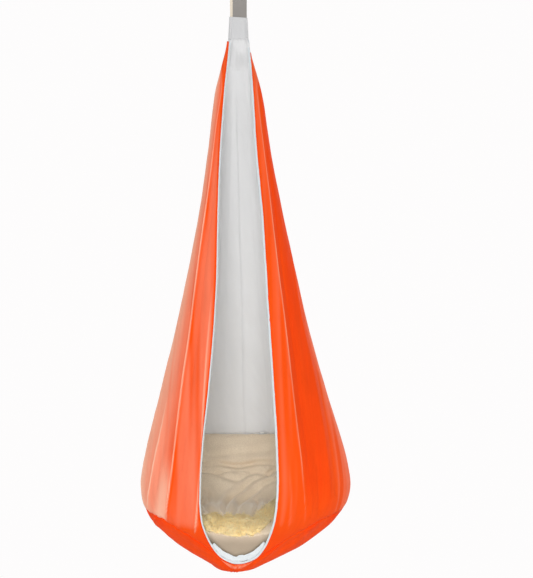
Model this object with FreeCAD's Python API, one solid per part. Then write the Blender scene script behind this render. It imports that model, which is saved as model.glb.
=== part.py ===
import FreeCAD, Part
import math
import os

# Hanging pod chair: a fabric pod with a front slit and a cushion in its bowl, sewn to a
# webbing strap that hangs on a ring, a snap hook and a swivel under a ceiling plate.
# Millimetres, +Z up, the slit faces -Y. The origin is the middle of the ceiling face.

V = FreeCAD.Vector

# Gaps shared by mating pieces
seat_gap = 0.3            # between pieces that lie on each other
shaft_clearance = 0.08    # radial, round a turning shaft or pin

# Ceiling plate
plate_diameter = 90.0
plate_thickness = 4.0
plate_hole_count = 4
plate_hole_circle = 66.0
plate_hole_diameter = 6.5

# Swivel under the plate
housing_diameter = 38.0
housing_height = 28.0
housing_wall = 5.0
housing_floor = 5.0
shank_diameter = 12.0
thread_depth = 0.1
washer_diameter = 26.0
washer_thickness = 2.0
nut_across_flats = 19.0
nut_height = 10.0
eye_ring_radius = 13.5    # to the middle of the rod
eye_rod_diameter = 9.0

# Snap hook
hook_rod_diameter = 10.0
hook_inner_width = 26.0
hook_inner_height = 74.0
hook_nose_length = 4.0
hook_knuckle_rise = 6.0   # from the lower bow's end to the gate's pin
tongue_thickness = 4.0
tongue_radius = 4.0
gate_diameter = 9.0
gate_tip_gap = 0.6
gate_pin_diameter = 4.0
gate_bore_diameter = 5.2
gate_bore_depth = 22.0    # above the pin
plunger_length = 4.0
spring_wire = 0.8
spring_clearance = 0.2    # radial, in the gate's bore

# Strap ring, flat side down
ring_rod_diameter = 8.0
ring_inner_width = 44.0
ring_inner_height = 34.0
ring_corner_radius = 5.5  # to the middle of the rod

# Webbing strap and the cream tape sewn between its two legs
strap_width = 38.0
strap_thickness = 2.0
strap_drop = 110.0        # from the ring's bar to the top of the pod
strap_taper = 22.0        # length over which the loop's legs close together
strap_tuck = 50.0         # length sewn inside the neck
tape_thickness = 1.2
tape_side_shift = -7.5

# Fabric pod
pod_height = 1490.0
fabric_thickness = 1.6    # each layer, with its turned seams
layer_gap = 0.8           # between the outer fabric and the liner
binding_width = 5.0
binding_proud = 0.8
binding_lift = 1.2        # of its inner face over the liner's inner face
hem_gap = 0.9             # between the lip's hem and the curved fabric under it
hem_width = 20.0
hem_top = 47.0
seam_gap = 0.3
back_seam_angle = 132.0   # each side of the front, seen from the hanging axis
side_panel_start = 6.0    # angle inside the slit where the uncut side panels begin
outer_top_left = 1422.0
outer_top_right = 1394.0
panel_top = 1430.0
neck_half_width = 26.5
neck_side_shift = -3.8
neck_base_half_width = 27.5
neck_base_half_depth = 14.0

# Shape of the outer fabric: height over the pod's lowest point, half width, half depth,
# shift to the right, shift to the back. The pod leans forward so that it hangs balanced.
pod_stations = [
    (panel_top, 28, 15, -4.8, 0),
    (1385, 37, 23, -5, -1),
    (1282, 64, 46, -3.4, -3),
    (1120, 86, 76, -0.7, -6.5),
    (956, 114, 106, 3.4, -10),
    (793, 147, 138, 6, -13),
    (630, 183, 172, 8, -17),
    (467, 225.5, 208, 12, -20),
    (347, 259, 236, 15.5, -22.5),
    (280, 275, 248, 17, -24),
    (222, 282, 252, 17, -25),
    (175, 273, 246, 14, -29),
    (132, 244, 226, 9, -35),
    (98, 207, 198, 6, -42),
    (66, 163, 168, 4.8, -54),
    (42, 116, 138, 0, -69),
    (22, 75, 105, -4, -83),
    (8, 42, 66, -10, -94),
    (0, 4, 6, -14, -98),
]
base_top = 222            # station where the uncut base panel begins
wall_bottom = 22          # station where the uncut wall panels end

# Folds of the hanging cloth: angle from the front to the right, +1 a ridge, -1 a valley
fold_knots = [
    (0, 0), (18, 0), (37, 1), (48, -1), (64, 1), (82, -1), (104, 1), (126, -1), (148, 1),
    (166, -1), (180, 0), (196, 1), (216, -1), (238, 1), (260, -1), (280, 1), (296, -1),
    (310, 1), (321, -1), (330, 1), (342, 0),
]
fold_depth_upper = 0.02   # share of the radius, above the cushion
fold_depth_lower = 0.01   # at the widest part
fold_fade_start = 300.0
fold_fade_end = 175.0

# Slit: height, left edge, right edge
slit_stations = [
    (panel_top, -25, 23),
    (1385, -29, 26),
    (1282, -39, 33),
    (1120, -50, 43),
    (953, -55, 59),
    (792, -57, 69),
    (634, -65, 79),
    (479, -78, 89),
    (366, -90, 96),
    (248, -97, 99),
    (159, -95, 92),
    (110, -81, 78),
    (72, -61, 60),
    (50, -40, 40),
]
slit_bottom = (-6, 38)

# Seam between walls and base: angle from the front, height
base_seam = [(90, 168), (55, 147), (38, 108), (28, 72), (20, 48)]

# Cushion: the upper outline seen from the side, as arcs through a start, a middle and an
# end, each a (backward, height) pair. The arcs meet in the sewn channels.
cushion_gap = 0.5
cushion_arcs = [
    [(-258, 70), (-232, 122), (-175, 142)],
    [(-175, 142), (-111, 166), (-46, 168)],
    [(-46, 168), (36, 186), (87, 233)],
    [(87, 233), (112, 254), (119, 284)],
    [(119, 284), (132, 312), (147, 331)],
    [(147, 331), (161, 347), (183, 331)],
    [(183, 331), (210, 308), (238, 300)],
]
cushion_side_drop = 26.0  # how far the outline sinks towards the cushion's sides
cushion_side_reach = 235.0
cushion_side_shift = 17.0
cover_thickness = 4.0
bladder_gap = 0.8
bladder_wall = 1.0

# Fleece band across the front of the cushion
cushion_block_top = 630        # station that the block under the cushion's outline reaches
cushion_loft_shares = (-1.0, -0.6, 0.0, 0.6, 1.0)
cushion_floor_drop = 60.0      # how far the blank runs under the pod
cushion_ahead_share = 0.6      # of a lift, how far the outline also moves forward
bowl_sections = 24
binding_sections = 72
fleece_height = 14.0
fleece_left = (-150.0, -262.0, -177.0)   # side position, front edge, back edge
fleece_right = (165.0, -262.0, -88.0)

# Inflation valve at the top of the cushion
valve_side = 60.0
valve_back = 170.0
valve_flange_diameter = 30.0
valve_flange_thickness = 2.0
valve_tube_diameter = 18.0
valve_bore_diameter = 11.0
valve_tube_length = 16.0
valve_rise = 3.0          # flange top over the bladder
plug_head_diameter = 20.0
plug_head_thickness = 3.0
plug_stem_length = 12.0
eyelet_clearance = 1.5

# Levels worked out from the sizes above
eye_centre_z = -(plate_thickness + housing_height + seat_gap
                 + eye_ring_radius + eye_rod_diameter / 2)
eye_rod_z = eye_centre_z - eye_ring_radius
hook_top_z = eye_rod_z + eye_rod_diameter / 2 + seat_gap + hook_rod_diameter / 2
hook_bottom_z = hook_top_z - hook_inner_height - hook_rod_diameter
hook_side_y = (hook_inner_width + hook_rod_diameter) / 2
gate_pin_z = hook_bottom_z + hook_side_y + hook_knuckle_rise
nose_z = hook_top_z - hook_side_y - hook_nose_length
ring_top_z = hook_bottom_z + hook_rod_diameter / 2 + seat_gap + ring_rod_diameter / 2
ring_bar_z = ring_top_z - ring_inner_height - ring_rod_diameter
pod_top_z = ring_bar_z - strap_drop
pod_bottom_z = pod_top_z - pod_height
liner_outset = fabric_thickness + layer_gap
wall_total = liner_outset + fabric_thickness
far = 700.0


def disc(radius, bottom, top, x=0.0, y=0.0):
    return Part.makeCylinder(radius, top - bottom, V(x, y, bottom))


def save(shape, name):
    solids = shape.Solids
    if len(solids) == 1:
        shape = solids[0]
    shape.exportStep("parts/" + name + ".step")
    print(name, len(solids), shape.isValid(), round(shape.Volume))


def rod_along(edges, radius, start, direction):
    path = Part.Wire(edges)
    circle = Part.Wire(Part.Circle(start, direction, radius).toShape())
    return path.makePipeShell([circle], True, False)


# Ceiling plate and swivel

def ceiling_plate():
    plate = disc(plate_diameter / 2, -plate_thickness, 0)
    for index in range(plate_hole_count):
        turn = math.radians(45 + 360 * index / plate_hole_count)
        x = plate_hole_circle / 2 * math.cos(turn)
        y = plate_hole_circle / 2 * math.sin(turn)
        plate = plate.cut(disc(plate_hole_diameter / 2, -plate_thickness - 1, 1, x, y))
    rim = [edge for edge in plate.Edges if edge.BoundBox.ZMax < -plate_thickness + 0.1
           and edge.BoundBox.XLength > plate_diameter - 1]
    return plate.makeChamfer(1.0, rim)


def swivel_housing():
    top = -plate_thickness
    bottom = top - housing_height
    shell = disc(housing_diameter / 2, bottom, top)
    shell = shell.cut(disc(housing_diameter / 2 - housing_wall, bottom + housing_floor, top))
    shell = shell.cut(disc(shank_diameter / 2 + shaft_clearance, bottom - 1, top))
    rim = [edge for edge in shell.Edges if edge.BoundBox.ZMax < bottom + 0.1
           and edge.BoundBox.XLength > housing_diameter - 1]
    return shell.makeFillet(3.0, rim)


washer_bottom_z = -plate_thickness - housing_height + housing_floor
nut_bottom_z = washer_bottom_z + washer_thickness + seat_gap


def swivel_washer():
    top = washer_bottom_z + washer_thickness
    ring = disc(washer_diameter / 2, washer_bottom_z, top)
    return ring.cut(disc(shank_diameter / 2 + shaft_clearance, washer_bottom_z - 1, top + 1))


def swivel_nut():
    points = []
    for index in range(7):
        turn = math.radians(60 * index)
        reach = nut_across_flats / 2 / math.cos(math.radians(30))
        points.append(V(reach * math.cos(turn), reach * math.sin(turn), nut_bottom_z))
    nut = Part.Face(Part.makePolygon(points)).extrude(V(0, 0, nut_height))
    thread = disc(shank_diameter / 2 - thread_depth, nut_bottom_z - 1, nut_bottom_z + nut_height + 1)
    return nut.cut(thread)


def swivel_eye():
    rod = eye_rod_diameter / 2
    ring = Part.makeTorus(eye_ring_radius, rod, V(0, 0, eye_centre_z), V(0, 1, 0))
    shank_top = nut_bottom_z + nut_height + 1
    shank = disc(shank_diameter / 2, eye_centre_z + eye_ring_radius, shank_top)
    return ring.fuse(shank)


# Snap hook

def hook_body():
    side = hook_side_y
    top_centre = hook_top_z - side
    low_centre = hook_bottom_z + side
    slant = side * math.sqrt(0.5)
    tongue_top = gate_pin_z + tongue_radius
    edges = [
        Part.makeLine(V(0, -side, nose_z), V(0, -side, top_centre)),
        Part.Arc(V(0, -side, top_centre), V(0, -slant, top_centre + slant),
                 V(0, 0, hook_top_z)).toShape(),
        Part.Arc(V(0, 0, hook_top_z), V(0, slant, top_centre + slant),
                 V(0, side, top_centre)).toShape(),
        Part.makeLine(V(0, side, top_centre), V(0, side, low_centre)),
        Part.Arc(V(0, side, low_centre), V(0, slant, low_centre - slant),
                 V(0, 0, hook_bottom_z)).toShape(),
        Part.Arc(V(0, 0, hook_bottom_z), V(0, -slant, low_centre - slant),
                 V(0, -side, low_centre)).toShape(),
        Part.makeLine(V(0, -side, low_centre), V(0, -side, tongue_top)),
    ]
    body = rod_along(edges, hook_rod_diameter / 2, V(0, -side, nose_z), V(0, 0, 1))
    shoulder = gate_pin_z - gate_diameter / 2 - seat_gap
    cheek_size = hook_rod_diameter + 2
    for left in (-cheek_size - tongue_thickness / 2, tongue_thickness / 2):
        cheek = Part.makeBox(cheek_size, cheek_size, tongue_top - shoulder + 1)
        cheek.translate(V(left, -side - cheek_size / 2, shoulder))
        body = body.cut(cheek)
    tip = Part.makeBox(tongue_thickness + 2, hook_rod_diameter + 2, tongue_radius + 1)
    tip.translate(V(-tongue_thickness / 2 - 1, -side - hook_rod_diameter / 2 - 1, gate_pin_z))
    round_tip = Part.makeCylinder(tongue_radius, tongue_thickness + 2,
                                  V(-tongue_thickness / 2 - 1, -side, gate_pin_z), V(1, 0, 0))
    body = body.cut(tip.cut(round_tip))
    return body.cut(pin_cylinder(gate_pin_diameter / 2))


def pin_cylinder(radius, length=None):
    length = length or 2 * hook_rod_diameter
    return Part.makeCylinder(radius, length, V(-length / 2, -hook_side_y, gate_pin_z), V(1, 0, 0))


def hook_gate():
    radius = gate_diameter / 2
    top = nose_z - gate_tip_gap
    gate = disc(radius, gate_pin_z, top, 0, -hook_side_y)
    foot = Part.makeSphere(radius, V(0, -hook_side_y, gate_pin_z))
    gate = gate.fuse(foot)
    slot_width = tongue_thickness + 2 * seat_gap
    slot_top = gate_pin_z + tongue_radius + seat_gap
    slot = Part.makeBox(slot_width, gate_diameter + 2, slot_top - gate_pin_z + gate_diameter)
    slot.translate(V(-slot_width / 2, -hook_side_y - radius - 1, gate_pin_z - gate_diameter))
    bore = disc(gate_bore_diameter / 2, gate_pin_z, gate_pin_z + gate_bore_depth, 0, -hook_side_y)
    gate = gate.cut(slot).cut(bore)
    return gate.cut(pin_cylinder(gate_pin_diameter / 2 + shaft_clearance))


def hook_gate_pin():
    return pin_cylinder(gate_pin_diameter / 2, gate_diameter)


plunger_bottom_z = gate_pin_z + tongue_radius + seat_gap


def hook_gate_plunger():
    radius = gate_bore_diameter / 2 - spring_clearance
    return disc(radius, plunger_bottom_z, plunger_bottom_z + plunger_length, 0, -hook_side_y)


def hook_gate_spring():
    bottom = plunger_bottom_z + plunger_length
    top = gate_pin_z + gate_bore_depth
    radius = gate_bore_diameter / 2 - spring_clearance
    coil = disc(radius, bottom, top, 0, -hook_side_y)
    return coil.cut(disc(radius - spring_wire, bottom - 1, top + 1, 0, -hook_side_y))


# Ring and strap

def strap_ring():
    side = (ring_inner_width + ring_rod_diameter) / 2
    centre = ring_top_z - side
    slant = side * math.sqrt(0.5)
    corner = ring_corner_radius
    bend = corner * (1 - math.sqrt(0.5))
    bar = ring_bar_z
    edges = [
        Part.makeLine(V(0, 0, bar), V(side - corner, 0, bar)),
        Part.Arc(V(side - corner, 0, bar), V(side - bend, 0, bar + bend),
                 V(side, 0, bar + corner)).toShape(),
        Part.makeLine(V(side, 0, bar + corner), V(side, 0, centre)),
        Part.Arc(V(side, 0, centre), V(slant, 0, centre + slant), V(0, 0, ring_top_z)).toShape(),
        Part.Arc(V(0, 0, ring_top_z), V(-slant, 0, centre + slant), V(-side, 0, centre)).toShape(),
        Part.makeLine(V(-side, 0, centre), V(-side, 0, bar + corner)),
        Part.Arc(V(-side, 0, bar + corner), V(-side + bend, 0, bar + bend),
                 V(-side + corner, 0, bar)).toShape(),
        Part.makeLine(V(-side + corner, 0, bar), V(0, 0, bar)),
    ]
    return rod_along(edges, ring_rod_diameter / 2, V(0, 0, bar), V(1, 0, 0))


strap_end_z = pod_top_z - strap_tuck
legs_closed_z = ring_bar_z - ring_rod_diameter / 2 - strap_taper


def loop_outline(loop_radius, leg_y):
    bar = ring_bar_z
    shoulder = bar - ring_rod_diameter / 2
    return [
        Part.makeLine(V(0, -leg_y, strap_end_z), V(0, -leg_y, legs_closed_z)),
        Part.makeLine(V(0, -leg_y, legs_closed_z), V(0, -loop_radius, shoulder)),
        Part.makeLine(V(0, -loop_radius, shoulder), V(0, -loop_radius, bar)),
        Part.Arc(V(0, -loop_radius, bar), V(0, 0, bar + loop_radius),
                 V(0, loop_radius, bar)).toShape(),
        Part.makeLine(V(0, loop_radius, bar), V(0, loop_radius, shoulder)),
        Part.makeLine(V(0, loop_radius, shoulder), V(0, leg_y, legs_closed_z)),
        Part.makeLine(V(0, leg_y, legs_closed_z), V(0, leg_y, strap_end_z)),
        Part.makeLine(V(0, leg_y, strap_end_z), V(0, -leg_y, strap_end_z)),
    ]


def hanging_strap():
    inner_radius = ring_rod_diameter / 2 + seat_gap
    inner_y = tape_thickness / 2
    outer = Part.Wire(loop_outline(inner_radius + strap_thickness, inner_y + strap_thickness))
    inner = Part.Wire(loop_outline(inner_radius, inner_y))
    strap = Part.Face(outer).extrude(V(strap_width, 0, 0))
    strap = strap.cut(Part.Face(inner).extrude(V(strap_width, 0, 0)))
    strap.translate(V(-strap_width / 2, 0, 0))
    return strap


def strap_tape():
    height = legs_closed_z - strap_end_z
    tape = Part.makeBox(strap_width, tape_thickness, height)
    tape.translate(V(-strap_width / 2 + tape_side_shift, -tape_thickness / 2, strap_end_z))
    return tape


# Fabric pod

def station_normals(stations):
    # Share of an inward step that goes sideways and upward, for each station
    normals = []
    last = len(stations) - 1
    for index in range(len(stations)):
        upper = stations[max(index - 1, 0)]
        lower = stations[min(index + 1, last)]
        rise = upper[0] - lower[0]
        spread = upper[1] - lower[1]
        length = math.hypot(rise, spread)
        normals.append((rise / length, spread / length))
    normals[0] = (1, 0)
    if stations[last][0] == 0:
        normals[last] = (0, 1)
    return normals


def stations_between(top, bottom):
    return [station for station in pod_stations if bottom <= station[0] <= top]


def inset_station(station, normal, inset):
    height, half_width, half_depth, right, back = station
    inward, upward = normal
    return (height + inset * upward, half_width - inset * inward,
            half_depth - inset * inward, right, back)


def surface_point(station, angle, stretch=1.0):
    height, half_width, half_depth, right, back = station
    turn = math.radians(angle)
    return V(right + half_width * stretch * math.sin(turn),
             back - half_depth * stretch * math.cos(turn),
             pod_bottom_z + height)


def fold_depth(height):
    if height <= fold_fade_end:
        return 0.0
    if height >= fold_fade_start:
        return fold_depth_upper
    return fold_depth_lower


def knots_between(first, last):
    doubled = fold_knots + [(angle + 360, kind) for angle, kind in fold_knots]
    inside = [(angle, kind) for angle, kind in doubled if first + 4 < angle < last - 4]
    return [(first, 0)] + inside + [(last, 0)]


def fold_arcs(station, knots, depth):
    arcs = []
    for (angle_a, kind_a), (angle_b, kind_b) in zip(knots[:-1], knots[1:]):
        start = surface_point(station, angle_a, 1 + depth * kind_a)
        middle = surface_point(station, (angle_a + angle_b) / 2,
                               1 + depth * (kind_a + kind_b) / 2)
        end = surface_point(station, angle_b, 1 + depth * kind_b)
        arcs.append(Part.Arc(start, middle, end).toShape())
    return arcs


def wall_panel(first_angle, last_angle, outer_inset, inner_inset):
    # A hanging strip of cloth from the neck to below the base seam
    knots = knots_between(first_angle, last_angle)
    stations = stations_between(panel_top, wall_bottom)
    normals = station_normals(pod_stations)
    wires = []
    for index, station in enumerate(stations):
        depth = fold_depth(station[0])
        normal = normals[index]
        if station[0] == wall_bottom:
            normal = (normal[0], 0)
        outer = inset_station(station, normal, outer_inset)
        inner = inset_station(station, normal, inner_inset)
        outer_arcs = fold_arcs(outer, knots, depth)
        inner_arcs = fold_arcs(inner, knots, depth)
        first_edge = Part.makeLine(surface_point(inner, first_angle),
                                   surface_point(outer, first_angle))
        last_edge = Part.makeLine(surface_point(outer, last_angle),
                                  surface_point(inner, last_angle))
        wires.append(Part.Wire(outer_arcs + [last_edge] + inner_arcs[::-1] + [first_edge]))
    return Part.makeLoft(wires, True, False)


def meridian(stations, normals, angle, inset):
    points = []
    for station, normal in zip(stations, normals):
        points.append(surface_point(inset_station(station, normal, inset), angle))
    return points


def arcs_through(points):
    arcs = []
    for index in range(0, len(points) - 2, 2):
        arcs.append(Part.Arc(points[index], points[index + 1], points[index + 2]).toShape())
    return arcs


def base_bowl(outer_inset, inner_inset, count=bowl_sections):
    # The uncut base, lofted round its meridians
    stations = stations_between(base_top, 0)
    normals = station_normals(stations)
    wires = []
    for index in range(count):
        angle = 360.0 * index / count
        outer = meridian(stations, normals, angle, outer_inset)
        inner = meridian(stations, normals, angle, inner_inset)
        edges = arcs_through(outer) + [Part.makeLine(outer[-1], inner[-1])]
        edges += arcs_through(inner[::-1]) + [Part.makeLine(inner[0], outer[0])]
        wires.append(Part.Wire(edges))
    return Part.makeLoft(wires, True, False, True)


def pod_block(inset):
    # A solid that fills the pod's lower part up to an inset from its outer face
    stations = stations_between(cushion_block_top, 0)
    normals = station_normals(stations)
    knots = fold_knots + [(360, 0)]
    wires = []
    for station, normal in zip(stations, normals):
        placed = inset_station(station, normal, inset)
        wires.append(Part.Wire(fold_arcs(placed, knots, fold_depth(station[0]))))
    return Part.makeLoft(wires, True, True)


def between(low, high, share):
    return low + (high - low) * share


def station_at(height):
    # The pod's shape at any height, on a smooth curve through the stations
    stations = pod_stations
    index = 1
    while index < len(stations) - 1 and stations[index][0] > height:
        index += 1
    upper, lower = stations[index - 1], stations[index]
    above = stations[max(index - 2, 0)]
    below = stations[min(index + 1, len(stations) - 1)]
    span = upper[0] - lower[0]
    share = (upper[0] - height) / span
    values = [height]
    for item in range(1, 5):
        slope_upper = (lower[item] - above[item]) / (above[0] - lower[0]) * span
        slope_lower = (below[item] - upper[item]) / (upper[0] - below[0]) * span
        ease = share * share * (3 - 2 * share)
        value = between(upper[item], lower[item], ease)
        value += slope_upper * share * (1 - share) ** 2
        value -= slope_lower * share * share * (1 - share)
        values.append(value)
    return values


def front_depth(x, height, inset):
    # How far back the front wall lies at a place in the front view
    height, half_width, half_depth, right, back = station_at(height)
    sideways = min(abs(x - right) / (half_width - inset), 0.98)
    return back - (half_depth - inset) * math.sqrt(1 - sideways * sideways)


def slit_side(sign, outset):
    column = 1 if sign < 0 else 2
    return [V(station[column] + sign * outset, 0, pod_bottom_z + station[0])
            for station in slit_stations]


def slit_curve(outset):
    # The slit's outline in the front view, from the upper left end round to the upper right
    low = V(slit_bottom[0], 0, pod_bottom_z + slit_bottom[1] - outset)
    points = slit_side(-1, outset) + [low] + slit_side(1, outset)[::-1]
    curve = Part.BSplineCurve()
    curve.interpolate(points)
    return curve


def slit_prism(outset):
    curve = slit_curve(outset)
    first = curve.StartPoint
    last = curve.EndPoint
    rise = V(0, 0, far)
    edges = [curve.toShape(), Part.makeLine(last, last + rise),
             Part.makeLine(last + rise, first + rise), Part.makeLine(first + rise, first)]
    return Part.Face(Part.Wire(edges)).extrude(V(0, -far, 0))


def seam_points(sign):
    points = []
    for angle, height in base_seam:
        station = station_at(height)
        point = surface_point(station, sign * angle)
        points.append(V(point.x, 0, point.z))
    return points


def below_seam(drop):
    # Everything below the base seam, as a solid; drop lowers its top
    left = seam_points(-1)
    right = seam_points(1)[::-1]
    seam_z = pod_bottom_z + base_seam[0][1]
    line = [V(-far, 0, seam_z)] + left + right + [V(far, 0, seam_z)]
    line += [V(far, 0, seam_z - far), V(-far, 0, seam_z - far), V(-far, 0, seam_z)]
    front = Part.Face(Part.makePolygon(line)).extrude(V(0, -far, 0))
    back = Part.makeBox(2 * far, far, far, V(-far, 0, seam_z - far))
    region = front.fuse(back)
    region.translate(V(0, 0, -drop))
    return region


def above_hem():
    # The space over the outer fabric's slanted top edge
    left_z = pod_bottom_z + outer_top_left
    right_z = pod_bottom_z + outer_top_right
    slope = (right_z - left_z) / (2 * neck_half_width)
    reach = 200.0
    points = [V(-reach, -reach, left_z - slope * (reach - neck_half_width)),
              V(reach, -reach, right_z + slope * (reach - neck_half_width)),
              V(reach, -reach, pod_top_z + reach), V(-reach, -reach, pod_top_z + reach)]
    return Part.Face(Part.makePolygon(points + points[:1])).extrude(V(0, 2 * reach, 0))


def fabric_layer(name, outer_inset, inner_inset, openings, seam_tool, hem_tool):
    angles = {"right": (side_panel_start, back_seam_angle),
              "back": (back_seam_angle, 360 - back_seam_angle),
              "left": (360 - back_seam_angle, 360 - side_panel_start)}
    for side, (first, last) in angles.items():
        panel = wall_panel(first, last, outer_inset, inner_inset)
        tools = [seam_tool]
        if side != "back":
            tools.append(openings)
        if hem_tool:
            tools.append(hem_tool)
        panel = panel.cut(tools)
        save(panel, name + "_" + side + "_panel")
    bowl = base_bowl(outer_inset, inner_inset)
    save(bowl.common(below_seam(seam_gap)).cut(openings), name + "_base_panel")


def opening_binding(count=binding_sections):
    curve = slit_curve(0)
    rim = slit_curve(binding_width)
    wires = []
    for index in range(count + 1):
        share = index / count
        inner = curve.value(between(curve.FirstParameter, curve.LastParameter, share))
        outer = rim.value(between(rim.FirstParameter, rim.LastParameter, share))
        corners = []
        for place, inset in ((inner, wall_total - binding_lift), (outer, wall_total - binding_lift),
                             (outer, -binding_proud), (inner, -binding_proud)):
            depth = front_depth(place.x, place.z - pod_bottom_z, inset)
            corners.append(V(place.x, depth, place.z))
        wires.append(Part.makePolygon(corners + corners[:1]))
    return Part.makeLoft(wires, True, True)


def lip_hem():
    # The outer fabric's turned hem under the slit's lower end
    hem = base_bowl(-fabric_thickness - hem_gap, -hem_gap)
    limit = Part.makeBox(2 * far, far, hem_top, V(-far, -far, pod_bottom_z))
    band = slit_prism(hem_width).cut(slit_prism(seam_gap + binding_width))
    return hem.common(band.common(limit))


def neck_collar():
    # The gathered liner round the strap, from the pod's top down to the panels
    top_half_depth = tape_thickness / 2 + strap_thickness + seat_gap + fabric_thickness
    sections = []
    for inset in (0, fabric_thickness):
        top = (pod_top_z, neck_half_width - inset, top_half_depth - inset)
        low = (pod_bottom_z + panel_top + seat_gap, neck_base_half_width - inset,
               neck_base_half_depth - inset)
        sections.append(Part.makeLoft([stadium(*top), stadium(*low)], True, True))
    return sections[0].cut(sections[1])


def stadium(level, half_width, half_depth):
    flat = half_width - half_depth
    slant = half_depth * math.sqrt(0.5)
    x = neck_side_shift

    def arc(side, start, end):
        return Part.Arc(V(x + side * flat + start[0], start[1], level),
                        V(x + side * flat + side * slant, (start[1] + end[1]) * math.sqrt(0.5), level),
                        V(x + side * flat + end[0], end[1], level)).toShape()

    edges = [
        Part.makeLine(V(x - flat, -half_depth, level), V(x + flat, -half_depth, level)),
        arc(1, (0, -half_depth), (half_depth, 0)),
        arc(1, (half_depth, 0), (0, half_depth)),
        Part.makeLine(V(x + flat, half_depth, level), V(x - flat, half_depth, level)),
        arc(-1, (0, half_depth), (-half_depth, 0)),
        arc(-1, (-half_depth, 0), (0, -half_depth)),
    ]
    return Part.Wire(edges)


# Cushion

def cushion_blank(lift):
    # The cushion's upper form, lofted from side to side; lift raises or sinks its surface
    wires = []
    for share in cushion_loft_shares:
        x = share * cushion_side_reach + cushion_side_shift
        sink = cushion_side_drop * share ** 4
        ahead = -cushion_ahead_share * lift
        arcs = []
        for arc in cushion_arcs:
            points = [V(x, y + ahead, pod_bottom_z + height + lift - sink) for y, height in arc]
            arcs.append(Part.Arc(*points).toShape())
        start = arcs[0].Vertexes[0].Point
        end = arcs[-1].Vertexes[-1].Point
        floor = pod_bottom_z - cushion_floor_drop
        corners = [end, V(x, far / 2, end.z), V(x, far / 2, floor), V(x, -far / 2, floor),
                   V(x, -far / 2, start.z), start]
        lines = [Part.makeLine(a, b) for a, b in zip(corners[:-1], corners[1:])]
        wires.append(Part.Wire(arcs + lines))
    return Part.makeLoft(wires, True, False)


def cushion_form(inset):
    block = pod_block(wall_total + cushion_gap + inset)
    return cushion_blank(-inset).common(block)


def fleece_band():
    left_x, left_front, left_back = fleece_left
    right_x, right_front, right_back = fleece_right
    outline = [V(left_x, left_front, 0), V(right_x, right_front, 0),
               V(right_x, right_back, 0), V(left_x, left_back, 0), V(left_x, left_front, 0)]
    column = Part.Face(Part.makePolygon(outline)).extrude(V(0, 0, far))
    column.translate(V(0, 0, pod_bottom_z))
    band = cushion_blank(fleece_height).cut(cushion_blank(seat_gap))
    return band.common(column).common(pod_block(wall_total + cushion_gap))


def top_of(shape, x, y):
    probe = Part.makeLine(V(x, y, pod_bottom_z), V(x, y, pod_bottom_z + far))
    return max(vertex.Z for vertex in shape.common(probe).Vertexes)


def cushion():
    cover_inner = cushion_form(cover_thickness)
    cover = cushion_form(0).cut(cover_inner)
    bladder_outer = cushion_form(cover_thickness + bladder_gap)
    bladder_inner = cushion_form(cover_thickness + bladder_gap + bladder_wall)
    seat_z = top_of(bladder_outer, valve_side, valve_back)
    flange_top = seat_z + valve_rise
    tube_bottom = flange_top - valve_tube_length
    x, y = valve_side, valve_back
    eyelet = disc(valve_flange_diameter / 2 + eyelet_clearance, tube_bottom, seat_z + far, x, y)
    flange = disc(valve_flange_diameter / 2, flange_top - valve_flange_thickness, flange_top, x, y)
    tube = disc(valve_tube_diameter / 2, tube_bottom, flange_top, x, y)
    bore = disc(valve_bore_diameter / 2, tube_bottom - 1, flange_top + 1, x, y)
    hole = disc(valve_tube_diameter / 2 + seat_gap, tube_bottom - 1, seat_z + far, x, y)
    seat = disc(valve_flange_diameter / 2 + seat_gap, flange_top - valve_flange_thickness - seat_gap,
                seat_z + far, x, y)
    head_bottom = flange_top + seat_gap
    plug = disc(plug_head_diameter / 2, head_bottom, head_bottom + plug_head_thickness, x, y)
    stem = disc(valve_bore_diameter / 2 - seat_gap, head_bottom - plug_stem_length, head_bottom, x, y)
    save(cover.cut(eyelet), "cushion_cover")
    save(bladder_outer.cut(bladder_inner).cut(hole).cut(seat), "air_bladder")
    save(flange.fuse(tube).cut(bore), "valve_body")
    save(plug.fuse(stem), "valve_plug")


os.makedirs("parts", exist_ok=True)
save(ceiling_plate(), "ceiling_plate")
save(swivel_housing(), "swivel_housing")
save(swivel_washer(), "swivel_washer")
save(swivel_nut(), "swivel_nut")
save(swivel_eye(), "swivel_eye")
save(hook_body(), "hook_body")
save(hook_gate(), "hook_gate")
save(hook_gate_pin(), "hook_gate_pin")
save(hook_gate_plunger(), "hook_gate_plunger")
save(hook_gate_spring(), "hook_gate_spring")
save(strap_ring(), "strap_ring")
save(hanging_strap(), "hanging_strap")
save(strap_tape(), "strap_tape")
save(neck_collar(), "neck_collar")
cut_back = slit_prism(binding_width + seam_gap)
seam = below_seam(0)
fabric_layer("outer", 0, fabric_thickness, cut_back, seam, above_hem())
fabric_layer("liner", liner_outset, wall_total, cut_back, seam, None)
save(opening_binding(), "opening_binding")
save(lip_hem(), "lip_hem")
cushion()
save(fleece_band(), "fleece_band")
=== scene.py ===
import math
import bpy
import bmesh
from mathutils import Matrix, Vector
import numpy as np


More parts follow.
